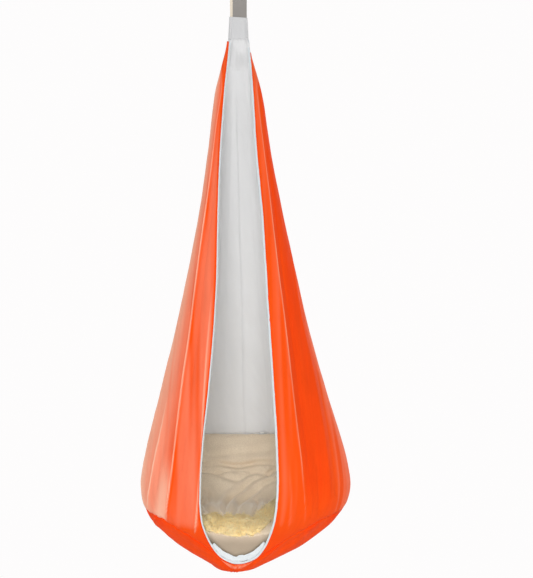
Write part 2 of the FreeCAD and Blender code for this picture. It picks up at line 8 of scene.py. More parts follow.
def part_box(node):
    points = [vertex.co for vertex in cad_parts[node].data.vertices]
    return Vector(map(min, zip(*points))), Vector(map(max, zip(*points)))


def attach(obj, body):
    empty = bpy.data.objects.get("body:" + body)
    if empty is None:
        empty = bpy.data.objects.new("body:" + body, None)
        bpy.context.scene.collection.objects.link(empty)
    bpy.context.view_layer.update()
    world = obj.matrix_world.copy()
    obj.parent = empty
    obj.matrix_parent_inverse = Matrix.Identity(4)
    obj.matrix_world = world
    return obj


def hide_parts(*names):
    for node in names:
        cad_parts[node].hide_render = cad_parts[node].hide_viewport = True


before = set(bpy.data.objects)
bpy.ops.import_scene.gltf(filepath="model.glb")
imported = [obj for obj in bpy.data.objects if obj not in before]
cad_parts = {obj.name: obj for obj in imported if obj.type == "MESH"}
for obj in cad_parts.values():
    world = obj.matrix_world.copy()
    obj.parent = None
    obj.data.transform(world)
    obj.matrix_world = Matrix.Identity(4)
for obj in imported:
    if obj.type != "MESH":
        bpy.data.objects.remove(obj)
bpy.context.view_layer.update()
scene = bpy.context.scene

# Millimetres, as in the part: +Z up, the slit faces -Y, the ceiling face at z = 0.
# Heights are over the pod's lowest point. Angles are in degrees from the front, right positive.
MM = 0.001
POD_BOTTOM = -1770.7
POD_TOP = -280.7
WALL_TOP = 1430.0         # the liner's upper edge and the slit's upper end
TOP_LEFT, TOP_RIGHT = 1422.0, 1394.0
CLOTH = 1.2               # thickness of a sewn layer
LINER_IN = 2.6            # from the outer cloth's face to the liner's outer face
EDGE_OUT = 3.2            # how far the walls' edges stay outside the slit's line
SLIT_MEET = 49.0          # where wall and base meet beside the slit
BACK_SEAM = 132.0         # angle of the two seams at the back
COLLAR_SHIFT = -3.8       # the collar's middle, across
COLLAR_CLOTH = 1.0

# Outer cloth: height, half width, half depth, shift right, shift back
STATIONS = np.array([
    (1430, 28, 15, -4.8, 0), (1385, 37, 23, -5, -1), (1282, 64, 46, -3.4, -3),
    (1120, 86, 76, -0.7, -6.5), (956, 114, 106, 3.4, -10), (793, 147, 138, 6, -13),
    (630, 183, 172, 8, -17), (467, 225.5, 208, 12, -20), (347, 259, 236, 15.5, -22.5),
    (280, 275, 248, 17, -24), (222, 282, 252, 17, -25), (175, 273, 246, 14, -29),
    (132, 244, 226, 9, -35), (98, 207, 198, 6, -42), (66, 163, 168, 4.8, -54),
    (42, 116, 138, 0, -69), (22, 75, 105, -4, -83), (8, 42, 66, -10, -94), (0, 4, 6, -14, -98),
], float)

# Slit edges: height, left side, right side
SLIT = np.array([
    (1430, -25, 23), (1385, -29, 26), (1282, -39, 33), (1120, -50, 43), (953, -55, 59),
    (792, -57, 69), (634, -65, 79), (479, -78, 89), (366, -90, 96), (248, -97, 99),
    (159, -95, 92), (110, -81, 78), (72, -61, 60), (50, -40, 40),
], float)
SLIT_LOW = (-6, 38)
# The slit's lower end: place across, height, and how far an outset moves it sideways and down
LOW_KNOTS = np.array([
    (-81, 110, 1, 0), (-61, 72, 0.9, 0.45), (-40, 50, 0.55, 0.85), (*SLIT_LOW, 0, 1),
    (40, 50, 0.55, 0.85), (60, 72, 0.9, 0.45), (78, 110, 1, 0),
], float)
# Base seam: angle either side of the front, height
SEAM = np.array([(20, 48), (28, 72), (38, 108), (55, 147), (90, 168), (180, 168)], float)
SEAM_TOP = 168.0
SEAM_DIP, SEAM_DIP_WIDTH = 2.2, 5.0
SEAM_GATHERS = 21         # seed that the wall's and the base's gathers share


# Numbers along lines and over surfaces

def smooth_step(x):
    x = np.clip(x, 0, 1)
    return x * x * (3 - 2 * x)


def bell(x, width, power=2):
    # 1 at zero, fading out beyond the width
    return np.exp(-(x / width) ** power)


def unit(vectors):
    return vectors / np.maximum(np.linalg.norm(vectors, axis=-1, keepdims=True), 1e-9)


def run_length(line):
    # Distance along a line to each of its points
    return np.concatenate([[0], np.cumsum(np.linalg.norm(np.diff(line, axis=0), axis=1))])


def smoothed(line, passes):
    line = line.copy()
    for _ in range(passes):
        line[1:-1] = 0.25 * line[:-2] + 0.5 * line[1:-1] + 0.25 * line[2:]
    return line


def signed(angle):
    # The same angle between -180 and 180 degrees
    return (np.asarray(angle, float) + 180) % 360 - 180


def value_noise(u, v, seed):
    # Smooth repeatable noise from -1 to 1 on a random lattice
    size = 64
    table = np.random.default_rng(seed).uniform(-1, 1, (size, size))
    u, v = np.asarray(u), np.asarray(v)
    i, j = np.floor(u).astype(int), np.floor(v).astype(int)
    s, t = smooth_step(u - i), smooth_step(v - j)
    low = table[i % size, j % size] * (1 - s) + table[(i + 1) % size, j % size] * s
    high = table[i % size, (j + 1) % size] * (1 - s) + table[(i + 1) % size, (j + 1) % size] * s
    return low * (1 - t) + high * t


def line_noise(along, seed):
    return value_noise(along, 0 * along, seed)


def cubic(table, h, column):
    # A column of a table of falling heights, on a smooth curve through its rows
    heights, values = table[:, 0], table[:, column]
    last = len(heights) - 1
    h = np.clip(h, heights[-1], heights[0])
    low = np.clip(np.searchsorted(-heights, -h), 1, last)
    up = low - 1
    above, below = np.maximum(up - 1, 0), np.minimum(low + 1, last)
    span = heights[up] - heights[low]
    t = (heights[up] - h) / span
    slope_up = (values[low] - values[above]) / (heights[above] - heights[low]) * span
    slope_low = (values[below] - values[up]) / (heights[up] - heights[below]) * span
    ease = t * t * (3 - 2 * t)
    return (values[up] * (1 - ease) + values[low] * ease + slope_up * t * (1 - t) ** 2
            - slope_low * t * t * (1 - t))


def line_at(h, heights, places):
    # A smooth line through places at falling heights
    return cubic(np.stack([np.array(heights, float), np.array(places, float)], -1), h, 1)


def smooth_curve(line, count=60):
    # A smooth curve through given places
    line = np.array(line, float)
    step = run_length(line)
    table = np.stack([-step, line[:, 0], line[:, 1]], -1)
    t = -np.linspace(0, step[-1], count)
    return np.stack([cubic(table, t, 1), cubic(table, t, 2)], -1)


# The pod's form

def section(h):
    # Half width, half depth, shift right and shift back at a height
    return [cubic(STATIONS, h, column) for column in (1, 2, 3, 4)]


def on_pod(angle, h):
    w, d, right, back = section(h)
    turn = np.radians(angle)
    return np.stack([right + w * np.sin(turn), back - d * np.cos(turn), POD_BOTTOM + h + 0 * turn], -1)


def x_at(angle, h):
    w, _, right, _ = section(h)
    return right + w * np.sin(np.radians(angle))


def angle_at(x, h, most=0.965):
    w, _, right, _ = section(h)
    return np.degrees(np.arcsin(np.clip((x - right) / w, -most, most)))


def on_front(place):
    # Points of the pod's front at places across and heights
    return on_pod(angle_at(place[..., 0], place[..., 1]), place[..., 1])


# Folds of the front: heights from top to bottom, place across the front, how far each stands out, the
# widths of its left and right flanks, and the painted highlight (positive) or painted shade (negative)
# along its crest
FRONT_FOLDS = [
    ([1290, 1195, 1083, 937, 752, 622, 511, 363, 247, 154, 120],
     [-48, -62, -74, -92, -115, -130, -145, -162, -177, -190, -195],
     [1.5, 2, 3, 4.5, 5.5, 6, 6.5, 6, 5, 3, 1], 30, 9, 0.75),
    ([1290, 1083, 830, 622, 408, 247, 120], [-42, -62, -90, -112, -138, -158, -172],
     [-1, -2, -3, -3.5, -3.5, -3, -1], 14, 18, 0.0),
    ([760, 681, 568, 410, 357, 228, 150, 105], [-70, -76, -85, -93, -95, -103, -109, -114],
     [0, 1.5, 3, 4, 4.5, 4.5, 4, 2], 10, 6, 0.65),
    ([470, 388, 301, 240, 179, 150], [-190, -203, -221, -232, -243, -246],
     [0, 3.5, 4.5, 4.5, 3.5, 1], 22, 8, 0.7),
    ([470, 388, 301, 240, 179, 150], [-178, -190, -206, -215, -222, -222],
     [0, -2, -3, -2.5, -1.5, -1], 10, 12, 0.0),
    ([1290, 1113, 996, 829, 752, 586, 409, 291, 190, 140],
     [46, 66, 80, 99, 108, 128, 148, 163, 172, 174],
     [1.5, 3, 4, 5, 5.5, 6, 6, 4.5, 2, 0], 26, 8, 0.4),
    ([1113, 996, 829, 752, 586, 409, 291, 190, 140], [74, 91, 113, 123, 146, 168, 184, 194, 196],
     [-2, -3, -3, -3.5, -4, -4, -3, -1.5, 0], 10, 26, 0.0),
    ([900, 847, 696, 547, 405, 300, 200, 150], [134, 140, 160, 191, 217, 232, 240, 238],
     [0, 2, 4, 5, 5.5, 4.5, 3, 1], 18, 18, 0.15),
    ([700, 547, 405, 300, 210], [172, 205, 234, 248, 255], [0, -2.5, -3.5, -3, -1.5], 14, 16, 0.0),
    ([330, 260, 200, 150, 110], [203, 209, 212, 206, 190], [0, -2.5, -3.5, -4, -3], 8, 10, 0.0),
    ([330, 260, 200, 150, 110], [184, 188, 190, 186, 172], [0, 2, 3, 3, 1.5], 10, 10, 0.1),
    ([330, 260, 200, 150], [-130, -140, -146, -144], [0, -2, -3, -2], 8, 10, 0.0),
    ([300, 250, 200, 150, 100], [130, 134, 136, 132, 122], [0, 1.5, 2.5, 2.5, 1.5], 8, 12, 0.15),
]
LEFT_FOLD, RIGHT_FOLD, OUTER_RIGHT_FOLD = (FRONT_FOLDS[index][:2] for index in (0, 5, 7))

# Folds of the sides and the back: heights, angles, and the same four
SIDE_HEIGHTS = [1300, 900, 500, 250, 165]
SIDE_FOLDS = [
    ([1000, 700, 420, 250, 168], [-84, -82, -81, -80, -80], [0, 2, 4, 4, 2], 20, 20, 0.2),
    (SIDE_HEIGHTS, [104, 103, 106, 104, 103], [1, 3, 5.5, 5, 1], 20, 22, 0.2),
    (SIDE_HEIGHTS, [118, 119, 116, 117, 117], [-1, -2.5, -4.5, -4, -1], 18, 22, -0.2),
    (SIDE_HEIGHTS, [148, 150, 147, 148, 149], [1, 2.5, 5.5, 5, 1], 22, 26, 0.2),
    (SIDE_HEIGHTS, [162, 164, 163, 165, 164], [-1, -2, -4, -4, -1], 22, 22, -0.2),
    ([1350, 1230, 1060, 900, 700, 560, 409, 250], [185, 186, 184, 183, 181, 181, 181, 180],
     [0, -1.6, -2, -2.6, -3.2, -3.5, -3, -1.5], 4, 12, -0.8),
    (SIDE_HEIGHTS, [196, 197, 195, 196, 196], [1, 2.5, 5, 4.5, 1], 22, 26, 0.2),
    (SIDE_HEIGHTS, [213, 212, 213, 212, 212], [-1, -2.5, -4.5, -4, -1], 18, 22, -0.2),
    (SIDE_HEIGHTS, [238, 240, 238, 237, 238], [1, 2.5, 5.5, 5, 1], 22, 22, 0.2),
    (SIDE_HEIGHTS, [256, 257, 256, 256, 257], [-1, -2.5, -5, -4.5, -1], 18, 22, -0.2),
]
FOLD_START = 110.0        # height over which a fold dies out above its first place
CREST_SOFTNESS, CREST_LOSS, FLANK_FALL = 0.02, 0.141, 1.35
CREST_LINE = 2.1          # half width of a crest's painted highlight or painted shade line
FULL_TONE_RISE = 4.5      # a crest that stands out this far has its whole painted highlight or shade


def fold_shape(angle, h):
    # How far the cloth stands out of its plain form, and the painted highlights and painted shade along its
    # folds' crests
    w, d = section(h)[:2]
    radius = (w + d) / 2
    out = np.zeros(np.broadcast(angle, h).shape)
    tone = np.zeros_like(out)
    for index, (heights, places, rises, left, right, shade) in enumerate(FRONT_FOLDS + SIDE_FOLDS):
        centre = line_at(h, heights, places)
        if index < len(FRONT_FOLDS):
            centre = angle_at(centre, h, 0.985)
        rise = np.interp(h, heights[::-1], rises[::-1], left=0)
        rise = rise * np.clip((heights[0] + FOLD_START - h) / FOLD_START, 0, 1)
        reach = np.radians(signed(angle - centre)) * radius
        width = np.where(reach < 0, left, right) * np.clip(radius / 180, 0.3, 1.2)
        t = np.abs(reach) / width
        out += rise * np.exp(-(np.sqrt(t * t + CREST_SOFTNESS) - CREST_LOSS) * FLANK_FALL)
        # Painted highlight along a ridge's crest, painted shade along a hollow's, as set by each fold's
        # last number
        tone += shade * np.clip(np.abs(rise) / FULL_TONE_RISE, 0, 1) * bell(reach, CREST_LINE)
    arc = np.radians(angle) * radius
    out += 0.9 * value_noise(arc / 26, h / 170, 3) * np.clip(radius / 200, 0.3, 1)
    out += 0.35 * value_noise(arc / 8, h / 46, 5)
    left_side = np.clip((-20 - signed(angle)) / 10, 0, 1)
    out += left_side * 0.5 * value_noise(arc / 7 + h / 40, h / 22, 7) * np.clip((640 - h) / 200, 0, 1)
    return out, tone


def painted_light_and_streaks(angle, h):
    # Painted light and shade between the main folds: pale where light falls, on the left and on the far
    # right side, deep where shade falls, on the right front and near the base, and random streaks of tone
    w, d = section(h)[:2]
    turn = signed(angle)
    x = x_at(turn, h)
    front = np.cos(np.radians(turn))
    not_back = smooth_step((front + 0.6) / 0.6)
    near_base = smooth_step((150 - h) / 60)
    first_left, first_right = line_at(h, *LEFT_FOLD), line_at(h, *RIGHT_FOLD)
    beyond = first_left - x
    # Painted light: pale left of the first left fold, more so towards the side and low down, a little
    # between that fold and the slit, and on the far right side
    low_band = 0.45 * smooth_step((330 - h) / 120) * smooth_step((44 - beyond) / 26)
    pale = smooth_step((beyond + 2) / 8) * (0.16 + 0.62 * smooth_step((-turn - 42) / 45) + low_band)
    pale *= not_back
    pale += 0.13 * smooth_step(-beyond / 10) * smooth_step((-30 - x) / 30) * (front > 0)
    pale += 0.3 * smooth_step((turn - 62) / 34) * not_back * (turn > 0)
    pale = pale * (1 - 0.8 * near_base)
    # Painted shade: deep on the right front between its main folds, and near the base
    share = (x - first_right) / np.maximum(line_at(h, *OUTER_RIGHT_FOLD) - first_right, 30)
    deep = smooth_step((share - 0.02) / 0.12) * smooth_step((1.35 - share) / 0.5)
    deep = deep * (front > -0.2) * np.clip((h - 130) / 120, 0.35, 1)
    deep = 0.5 * deep * (turn > 0) + 0.35 * near_base
    streaks = 0.10 * value_noise(np.radians(turn) * (w + d) / 22, h / 260, 11)
    return pale - deep + streaks * (front > -0.3)


def seam_height(angle):
    return np.interp(np.abs(signed(angle)), SEAM[:, 0], SEAM[:, 1])


def pucker(along, away, size, reach, seed):
    # Short gathers beside a sewn line
    wave = np.sin(along / 5.2 + 2.5 * line_noise(along / 31, seed))
    wave += 0.8 * value_noise(along / 7, 0 * along + 9, seed + 1)
    return size * wave * np.exp(-np.abs(away) / reach)


def slit_edge(h, sign, outset):
    return cubic(SLIT, h, 1 if sign < 0 else 2) + sign * outset


def slit_low(x, outset):
    # Height of the slit's lower end at a place across the front
    across, height, sideways, down = LOW_KNOTS.T
    across = across + np.sign(across - SLIT_LOW[0]) * sideways * outset
    return cubic(np.stack([-across, height - down * outset], -1), -np.asarray(x, float), 1)


def low_edge_height(angle, outset):
    # Where the slit's lower end crosses a meridian of the base
    angle = signed(angle)
    h = np.full(angle.shape, 44.0)
    for _ in range(12):
        h = 0.5 * h + 0.5 * slit_low(x_at(angle, h), outset)
    return h


# Meshes

def turned_to(normals, away):
    return -normals if np.mean(np.sum(normals * away, -1)) < 0 else normals


def normals_of(grid, wrap=False):
    if wrap:
        du = np.gradient(np.concatenate([grid[:, -1:], grid, grid[:, :1]], 1), axis=1)[:, 1:-1]
    else:
        du = np.gradient(grid, axis=1)
    return unit(np.cross(du, np.gradient(grid, axis=0)))


def facing_out(grid, wrap=False):
    # Normals that point away from the pod's middle line or downwards
    _, _, right, back = section(grid[..., 2] - POD_BOTTOM)
    away = np.stack([grid[..., 0] - right, grid[..., 1] - back, np.full(grid.shape[:2], -24.0)], -1)
    return turned_to(normals_of(grid, wrap), away)


def make_object(name, points, faces, body="pod", uv=None, tone=None, smooth=True):
    mesh = bpy.data.meshes.new(name)
    mesh.from_pydata((np.asarray(points) * MM).tolist(), [], faces)
    mesh.update()
    if smooth:
        shade_smooth(mesh)
    if uv is not None:
        layer = mesh.uv_layers.new(name="cloth")
        index = np.zeros(len(mesh.loops), np.int32)
        mesh.loops.foreach_get("vertex_index", index)
        layer.data.foreach_set("uv", (np.asarray(uv) * MM)[index].astype(np.float32).ravel())
    if tone is not None:
        point_values(mesh, "tone", tone)
    obj = bpy.data.objects.new(name, mesh)
    scene.collection.objects.link(obj)
    if body:
        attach(obj, body)
    return obj


def shade_smooth(mesh):
    mesh.polygons.foreach_set("use_smooth", np.ones(len(mesh.polygons), bool))


def point_values(mesh, name, values):
    layer = mesh.attributes.new(name, "FLOAT", "POINT")
    layer.data.foreach_set("value", np.asarray(values, np.float32))


def grid_faces(rows, columns, start=0, wrap=False, flip=False):
    i = np.arange(rows - 1)[:, None]
    j = np.arange(columns if wrap else columns - 1)[None, :]
    a = start + i * columns + j
    b = start + i * columns + (j + 1) % columns
    quads = np.stack([a, b, b + columns, a + columns], -1).reshape(-1, 4)
    return (quads[:, ::-1] if flip else quads).tolist()


def tube_faces(rows, columns):
    # The sides of a stack of rings, and its two ends
    ring = list(range(columns))
    return grid_faces(rows, columns, 0, True) + [ring, [(rows - 1) * columns + i for i in ring[::-1]]]


def sheet_uv(grid):
    across = np.linalg.norm(np.diff(grid, axis=1), axis=-1)
    u = np.concatenate([np.zeros((grid.shape[0], 1)), np.cumsum(across, 1)], 1)
    return np.stack([u, grid[..., 2] - POD_BOTTOM], -1)


def raised(angle, h, out, wrap=False):
    # A grid that stands out of the pod's plain form
    plain = on_pod(angle, h)
    return plain + facing_out(plain, wrap) * out[..., None]


def thin_solid(name, grid, tone, normal=None, thickness=CLOTH, uv=None, wrap=False, capped=False):
    # A closed sheet from the grid of its outer face; capped closes the last row to a point
    normal = facing_out(grid, wrap) if normal is None else normal
    uv = sheet_uv(grid) if uv is None else uv
    rows, columns = grid.shape[:2]
    count = rows * columns
    sides = [grid, grid - normal * thickness]
    flip = np.dot(np.cross(grid[1, 1] - grid[1, 0], grid[2, 1] - grid[1, 1]), normal[1, 1]) < 0
    faces = grid_faces(rows, columns, 0, wrap, flip) + grid_faces(rows, columns, count, wrap, not flip)
    index = np.arange(count).reshape(rows, columns)
    if wrap:
        index = np.concatenate([index, index[:, :1]], 1)

    def rim(line, turned):
        a, b = line[:-1], line[1:]
        quads = np.stack([a, a + count, b + count, b], -1)
        faces.extend((quads[:, ::-1] if turned else quads).tolist())

    rim(index[0], flip)
    if not capped:
        rim(index[-1], not flip)
    if not wrap:
        rim(index[:, 0], not flip)
        rim(index[:, -1], flip)
    points = [side.reshape(-1, 3) for side in sides]
    uvs, tones = [uv.reshape(-1, 2)] * 2, [tone.ravel()] * 2
    if capped:
        for layer, turned in enumerate((not flip, flip)):
            last = index[-1] + layer * count
            fan = np.stack([last[1:], last[:-1], np.full(columns, 2 * count + layer)], -1)
            faces.extend((fan[:, ::-1] if turned else fan).tolist())
        points += [side[-1].mean(0)[None] for side in sides]
        uvs += [uv[-1].mean(0)[None]] * 2
        tones += [np.zeros(2)]
    points, uvs, tones = (np.concatenate(each) for each in (points, uvs, tones))
    return make_object(name, points, faces, "pod", uvs, tones)


def give(obj, material):
    obj.data.materials.clear()
    obj.data.materials.append(material)


def settle(obj, material, slot, node=None, **sheet):
    # Gives a piece its material and hides the CAD node that it stands for; the slot and the flat size are
    # not used
    give(obj, material)
    if node:
        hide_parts(node)


def patch(rows, columns):
    # Shares from 0 to 1 down and across a grid
    return np.linspace(0, 1, rows)[:, None], np.linspace(0, 1, columns)[None, :]


def vertex_data(obj, key):
    flat = np.zeros(len(obj.data.vertices) * 3)
    obj.data.vertices.foreach_get(key, flat)
    return flat.reshape(-1, 3)


def vertices_of(obj):
    return vertex_data(obj, "co") / MM


def set_vertices(obj, points):
    obj.data.vertices.foreach_set("co", (points * MM).ravel())
    obj.data.update()


def recalc(obj):
    work = bmesh.new()
    work.from_mesh(obj.data)
    bmesh.ops.recalc_face_normals(work, faces=work.faces)
    work.to_mesh(obj.data)
    work.free()


def applied(obj):
    # The object with its modifiers applied
    graph = bpy.context.evaluated_depsgraph_get()
    mesh = bpy.data.meshes.new_from_object(obj.evaluated_get(graph))
    obj.modifiers.clear()
    old = obj.data
    obj.data = mesh
    bpy.data.meshes.remove(old)


def sweep(name, path, across, normal, outline, body="pod", size=1.0):
    # A closed band of a fixed section along an open path
    rows, columns = len(path), len(outline)
    size = np.broadcast_to(size, (rows,))[:, None, None]
    grid = (path[:, None] + across[:, None] * outline[None, :, :1] * size
            + normal[:, None] * outline[None, :, 1:])
    u = np.broadcast_to(outline[:, 0][None] - outline[:, 0].min(), (rows, columns))
    v = np.broadcast_to(run_length(path)[:, None], (rows, columns))
    obj = make_object(name, grid.reshape(-1, 3), tube_faces(rows, columns), body,
                      np.stack([u, v], -1).reshape(-1, 2), np.zeros(rows * columns))
    recalc(obj)
    return obj


def rounded(half_width, half_height, count=4):
    # A rounded rectangle's outline
    radius = min(half_width, half_height) * 0.8
    points = []
    for corner, (sx, sy) in enumerate(((1, 1), (-1, 1), (-1, -1), (1, -1))):
        for k in range(count):
            turn = math.pi / 2 * (corner + k / (count - 1))
            points.append((sx * (half_width - radius) + radius * math.cos(turn),
                           sy * (half_height - radius) + radius * math.sin(turn)))
    return np.array(points)


def strands(name, rings, sides):
    # Closed strands; each entry of rings holds one point of every strand, ring by ring
    points = np.stack(rings, 1)
    count, size = points.shape[:2]
    starts = np.arange(count)[:, None] * size
    quads = np.array(grid_faces(size // sides, sides, 0, True))
    faces = (starts[:, :, None] + quads[None]).reshape(-1, 4).tolist()
    faces += (starts + np.arange(sides)[::-1]).tolist()
    faces += (starts + np.arange(size - sides, size)).tolist()
    return make_object(name, points.reshape(-1, 3), faces)


def tufts(name, roots, normals, lean, lengths, radius, seed):
    # Short curled strands of pile
    rng = np.random.default_rng(seed)
    side = unit(np.cross(normals, lean))
    curl = rng.uniform(0.3, 1.15, (len(roots), 1))
    drift = rng.normal(0, 0.35, (len(roots), 1))
    rings = []
    for level, width in ((0.0, 1.0), (0.35, 1.0), (0.7, 0.75), (1.0, 0.2)):
        bend = curl * level ** 1.6
        centre = roots + lengths[:, None] * (normals * level * (1 - 0.45 * bend)
                                             + lean * bend * 0.9 + side * drift * level)
        for turn in (0.0, 2.094, 4.189):
            rings.append(centre + radius * width * (side * math.cos(turn)
                                                    + np.cross(side, normals) * math.sin(turn)))
    return strands(name, rings, 3)


def stitches(name, runs, pitch, length, radius, lift):
    # Short raised threads along lines; each run is its points and their outward normals
    heads, tails, ups = [], [], []
    for line, normal in runs:
        step = run_length(line)
        places = np.arange(pitch / 2, step[-1] - length, pitch)
        for offset, values, store in ((0.0, line, heads), (length, line, tails), (0.0, normal, ups)):
            store.append(np.stack([np.interp(places + offset, step, values[:, k]) for k in range(3)], -1))
    head, tail, up = (np.concatenate(x) for x in (heads, tails, ups))
    up = unit(up)
    side = np.cross(unit(tail - head), up)
    rings = []
    bow = ((0, 0.45, -0.6), (0.2, 1, 0.5), (0.5, 1.1, 1), (0.8, 1, 0.5), (1, 0.45, -0.6))
    for share, width, rise in bow:
        centre = head + (tail - head) * share + up * lift * rise
        for turn in np.arange(6) * math.pi / 3:
            rings.append(centre + radius * width * (side * math.cos(turn) + up * math.sin(turn)))
    return strands(name, rings, 6)


# Materials

def rgb(red, green, blue):
    # A display colour as scene-linear values
    return tuple(c / 12.92 if c <= 0.04045 else ((c + 0.055) / 1.055) ** 2.4
                 for c in (red / 255, green / 255, blue / 255)) + (1.0,)


def darker(color, share):
    return tuple(c * share for c in color[:3]) + (1.0,)


class Nodes:
    # The nodes of a material or of the world
    def __init__(self, owner, output="ShaderNodeOutputMaterial"):
        owner.use_nodes = True
        self.owner = owner
        self.tree = owner.node_tree
        self.tree.nodes.clear()
        self.output = self.add(output)

    def add(self, kind, inputs=None, **settings):
        # Inputs are given by number or name, as another node's output or a constant
        node = self.tree.nodes.new(kind)
        for key, value in settings.items():
            setattr(node, key, value)
        for key, value in (inputs or {}).items():
            if hasattr(value, "is_linked"):
                self.tree.links.new(value, node.inputs[key])
            else:
                node.inputs[key].default_value = value
        return node

    def show(self, shader):
        self.tree.links.new(shader, self.output.inputs[0])

    def math(self, operation, a, b):
        return self.add("ShaderNodeMath", {0: a, 1: b}, operation=operation).outputs[0]

    def mix(self, factor, a, b, blend="MIX"):
        inputs = {0: factor, 6: a, 7: b}
        return self.add("ShaderNodeMix", inputs, data_type="RGBA", blend_type=blend).outputs[2]

    def blend(self, factor, first, second):
        return self.add("ShaderNodeMixShader", {0: factor, 1: first, 2: second}).outputs[0]

    def object_point(self):
        return self.add("ShaderNodeTexCoord").outputs["Object"]

    def attribute(self, name):
        return self.add("ShaderNodeAttribute", attribute_name=name).outputs["Fac"]

    def stretched(self, point, scale):
        return self.add("ShaderNodeMapping", {"Vector": point, "Scale": scale}).outputs[0]

    def noise(self, point, scale, detail=3.0, rough=0.55, stretch=None):
        if stretch:
            point = self.stretched(point, stretch)
        inputs = {"Vector": point, "Scale": scale, "Detail": detail, "Roughness": rough}
        return self.add("ShaderNodeTexNoise", inputs).outputs[0]

    def threads(self, point, period, direction):
        # Bands a period apart, slightly warped; a wave at scale 1 repeats every 0.314 m
        inputs = {"Vector": point, "Scale": 0.31416 / period, "Distortion": 0.4}
        return self.add("ShaderNodeTexWave", inputs, bands_direction=direction).outputs[1]

    def span(self, value, low, high, new_low=0.0, new_high=1.0):
        inputs = {0: value, 1: low, 2: high, 3: new_low, 4: new_high}
        return self.add("ShaderNodeMapRange", inputs).outputs[0]

    def bump(self, height, distance, strength, below=None):
        inputs = {"Height": height, "Distance": distance, "Strength": strength}
        if below is not None:
            inputs["Normal"] = below
        return self.add("ShaderNodeBump", inputs).outputs[0]

    def surface(self, color, roughness, normal=None, **constants):
        inputs = {"Base Color": color, "Roughness": roughness}
        if normal is not None:
            inputs["Normal"] = normal
        inputs.update({key.replace("_", " "): value for key, value in constants.items()})
        return self.add("ShaderNodeBsdfPrincipled", inputs).outputs[0]

    def finish(self, *surface, **constants):
        self.show(self.surface(*surface, **constants))
        return self.owner


def new_material(name):
    return Nodes(bpy.data.materials.new(name))


WHITE = (1.0, 1.0, 1.0, 1.0)


def woven(name, base, pale, deep, thread=0.00085, sheen=0.25, sheen_tint=WHITE, mottle=0.05, relief=0.5):
    # Plain weave in the cloth's own coordinates; the tone attribute runs from deep at -1 to pale at 1, and
    # carries painted highlights and painted shade with some random tone
    n = new_material(name)
    base, pale, deep = (rgb(*color) for color in (base, pale, deep))
    point = n.add("ShaderNodeUVMap", uv_map="cloth").outputs[0]
    tone = n.attribute("tone")
    color = n.mix(n.span(tone, 0.0, -1.0), n.mix(n.span(tone, 0.0, 1.0), base, pale), deep)
    streak = n.noise(point, 60.0, 3.0, 0.6, (1.0, 0.08, 1.0))
    clouds = n.math("ADD", n.noise(n.object_point(), 9.0, 4.0), streak)
    shade = n.span(clouds, 0.7, 1.3, 1.0 - mottle, 1.0 + mottle)
    grey = n.add("ShaderNodeCombineColor", {0: shade, 1: shade, 2: shade}).outputs[0]
    color = n.mix(1.0, color, grey, "MULTIPLY")
    weave = n.math("MULTIPLY", n.threads(point, thread, "X"), n.threads(point, thread, "Y"))
    slub = n.noise(point, 900.0, 2.0, 0.6, (1.0, 0.12, 1.0))
    height = n.math("ADD", weave, n.math("MULTIPLY", slub, 0.7))
    crumple = n.noise(point, 45.0, 4.0, 0.6, (1.0, 0.35, 1.0))
    normal = n.bump(height, 0.00022, relief, n.bump(crumple, 0.0016, 0.35))
    return n.finish(color, n.span(slub, 0.3, 0.7, 0.80, 0.92), normal, Sheen_Weight=sheen,
                    Sheen_Roughness=0.45, Sheen_Tint=sheen_tint, Specular_IOR_Level=0.1)


def steel(name, base, rough, brushed=(1.0, 1.0, 1.0)):
    n = new_material(name)
    point = n.object_point()
    fine = n.noise(point, 420.0, 4.0, 0.6, brushed)
    cloud = n.noise(point, 38.0)
    wear = n.noise(point, 130.0, 5.0, 0.7)
    color = n.mix(n.span(cloud, 0.35, 0.65, 0.0, 0.5), base, darker(base, 0.72))
    roughness = n.span(n.math("ADD", fine, wear), 0.7, 1.3, rough - 0.1, rough + 0.14)
    normal = n.bump(fine, 0.0002, 0.35, n.bump(wear, 0.0003, 0.25))
    return n.finish(color, roughness, normal, Metallic=1.0)


def glazed(name, base, rough, coat, grain, cloud, shade, spread, bump):
    # A smooth skin: grain and bump are a noise's and a bump's settings, cloud a noise's scale
    n = new_material(name)
    point = n.object_point()
    texture = n.noise(point, *grain)
    color = n.mix(n.span(n.noise(point, cloud), 0.3, 0.7), base, darker(base, shade))
    roughness = n.span(texture, 0.3, 0.7, rough - spread[0], rough + spread[1])
    return n.finish(color, roughness, n.bump(texture, *bump), Coat_Weight=coat)


def plastic(name, base, rough, coat=0.0):
    return glazed(name, base, rough, coat, (900.0, 2.0), 60.0, 0.86, (0.05, 0.05), (0.0001, 0.4))


def napped(name, base, pale, deep, nap, rough, sheen, sheen_tint, lift):
    # A short pile that the hand has brushed to and fro, darkened by painted shade where its point attribute
    # is 1
    n = new_material(name)
    base, pale, deep = (rgb(*color) for color in (base, pale, deep))
    point = n.object_point()
    brushed = n.noise(point, 26.0, 4.0, 0.62, (1.0, 0.6, 0.8))
    patch = n.noise(point, 7.0)
    fibre = n.noise(point, 1500.0, 3.0, 0.7)
    clump = n.noise(point, 1.0 / nap, 3.0, 0.6)
    color = n.mix(n.span(n.math("ADD", brushed, patch), 0.8, 1.3), base, pale)
    color = n.mix(n.span(clump, 0.62, 0.35, 0.0, 0.6), color, deep)
    # Painted shade from the mesh's point attribute, deepest on the cushion's low front
    color = n.mix(n.attribute("painted_shade"), color, darker(deep, 0.52))
    normal = n.bump(clump, lift, 0.45, n.bump(fibre, 0.0002, 0.6, n.bump(brushed, 0.0035, 0.3)))
    roughness = n.span(brushed, 0.35, 0.65, rough - 0.1, rough + 0.05)
    return n.finish(color, roughness, normal, Sheen_Weight=sheen, Sheen_Roughness=0.4,
                    Sheen_Tint=sheen_tint, Specular_IOR_Level=0.3)
